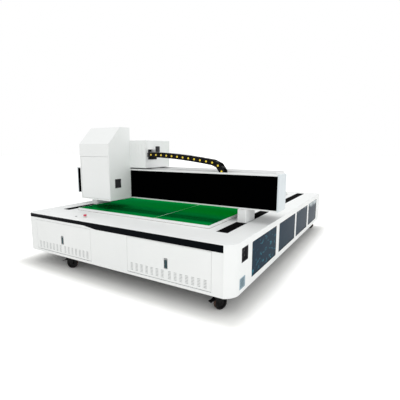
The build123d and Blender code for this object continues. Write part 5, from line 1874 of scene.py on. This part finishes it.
@dataclass
class Studio:
    """Camera at the photograph's place, pale floor, plain soft light."""

    eye: Point = (2.39095931, -4.14653434, 1.38639643)
    aim: Point = (-0.5175996, 0.84152517, -0.15468044)
    lens: float = 28.928
    sensor: float = 36.0
    shift_x: float = 0.025275
    shift_y: float = -0.000653
    ambient: float = 0.93
    floor_colour: Colour = (0.90, 0.90, 0.88)
    floor_glow: float = 0.45
    glow_from: float = 0.0
    glow_full: float = 0.26
    floor_half: float = 60.0
    footprint: tuple[float, float] = (1.4, 1.9)

    def build(self) -> None:
        """Builds camera, floor, world and lamps."""
        scene = bpy.context.scene
        scene.view_settings.view_transform = "Standard"
        self.camera(scene)
        self.world(scene)
        self.floor()
        self.lamp("lamp_front_right", (4.6, -5.0, 1.9), 2.5, 34.0, (1.0, 1.0, 1.0))
        self.lamp("lamp_right", (8.0, -0.5, 3.5), 4.0, 14.0, (0.82, 0.93, 1.0))
        self.lamp("lamp_top", (0.0, 0.5, 7.5), 6.0, 105.0, (1.0, 1.0, 1.0))

    def camera(self, scene: bpy.types.Scene) -> None:
        """Makes the camera.

        Args:
            scene: the scene that shows it.
        """
        data = bpy.data.cameras.new("photo_camera")
        data.lens = self.lens
        data.sensor_width = self.sensor
        data.shift_x = self.shift_x
        data.shift_y = self.shift_y
        data.clip_end = 300.0
        made = bpy.data.objects.new("photo_camera", data)
        made.location = self.eye
        made.rotation_mode = "QUATERNION"
        made.rotation_quaternion = Vector(self.aim).to_track_quat("-Z", "Y")
        scene.collection.objects.link(made)
        scene.camera = made

    def world(self, scene: bpy.types.Scene) -> None:
        """Makes an even pale world that shows white behind the machine and in its gloss.

        Args:
            scene: the scene that shows it.
        """
        world = bpy.data.worlds.new("pale_room")
        world.use_nodes = True
        tree = Tree(world.node_tree)
        back = world.node_tree.nodes["Background"]
        back.inputs["Color"].default_value = WHITE4
        strength = tree.maths("MAXIMUM", self.seen_rays(tree), self.ambient)
        tree.link(strength, back.inputs["Strength"])
        scene.world = world

    @staticmethod
    def seen_rays(tree: Tree) -> bpy.types.NodeSocket:
        """One for a ray from the camera, a reflection or glass, and zero for plain light.

        Args:
            tree: the tree to add to.

        Returns:
            The value socket.
        """
        path = tree.node("ShaderNodeLightPath").outputs
        both = tree.maths("MAXIMUM", path["Is Camera Ray"], path["Is Glossy Ray"])
        return tree.maths("MAXIMUM", both, path["Is Transmission Ray"])

    def floor(self) -> None:
        """Makes the floor, which shows white to the camera and keeps the machine's shadow, with painted
        shade where its glow fades out near the machine.
        """
        half = self.floor_half
        mesh = bpy.data.meshes.new("floor")
        mesh.from_pydata([(-half, -half, 0), (half, -half, 0), (half, half, 0), (-half, half, 0)], [],
                         [(0, 1, 2, 3)])
        made = bpy.data.objects.new("floor", mesh)
        bpy.context.scene.collection.objects.link(made)
        material = bpy.data.materials.new("pale_floor")
        material.use_nodes = True
        tree = Tree(material.node_tree)
        shader = material.node_tree.nodes["Principled BSDF"]
        shader.inputs["Base Color"].default_value = four(self.floor_colour)
        shader.inputs["Roughness"].default_value = 0.9
        shader.inputs["Specular IOR Level"].default_value = 0.1
        shader.inputs["Emission Color"].default_value = WHITE4
        glow = tree.maths("MULTIPLY", self.seen_rays(tree), self.away(tree))
        tree.link(glow, shader.inputs["Emission Strength"])
        mesh.materials.append(material)

    def away(self, tree: Tree) -> bpy.types.NodeSocket:
        """The floor's glow, which fades to nothing toward the machine's footprint and so paints shade round
        it on top of its real shadow.

        Args:
            tree: the tree to add to.

        Returns:
            The value socket.
        """
        place = tree.axes()
        squares = []
        for axis, half in zip("XY", self.footprint):
            beyond = tree.maths("SUBTRACT", tree.maths("ABSOLUTE", place[axis]), half)
            squares.append(tree.maths("POWER", tree.maths("MAXIMUM", beyond, 0.0), 2.0))
        far = tree.maths("SQRT", tree.maths("ADD", *squares))
        # painted shade: no glow within reach of the footprint darkens the floor round the machine, on top
        # of its real shadow
        return tree.ramp(far, self.glow_from, self.glow_full, 0.0, self.floor_glow, smooth=True)

    @staticmethod
    def lamp(name: str, at: Point, size: float, power: float, colour: Colour) -> None:
        """Hangs a soft square lamp aimed at the machine's middle.

        Args:
            name: the lamp's name.
            at: its place.
            size: its side.
            power: its power in watts.
            colour: its colour.
        """
        data = bpy.data.lights.new(name, "AREA")
        data.shape = "SQUARE"
        data.size = size
        data.energy = power
        data.color = colour
        made = bpy.data.objects.new(name, data)
        made.location = at
        aim = Vector((0.0, -0.3, 0.5)) - Vector(at)
        made.rotation_mode = "QUATERNION"
        made.rotation_quaternion = aim.to_track_quat("-Z", "Y")
        bpy.context.scene.collection.objects.link(made)


def main() -> None:
    """Builds everything in order."""
    parts: Iterable[object] = (
        Studio(), Cabinet(), Bed(), Bellows(), Controls(), Casters(), Gantry(), Chain(), Head())
    for part in parts:
        log.info("building %s", type(part).__name__)
        part.build()


if __name__ == "__main__":
    main()
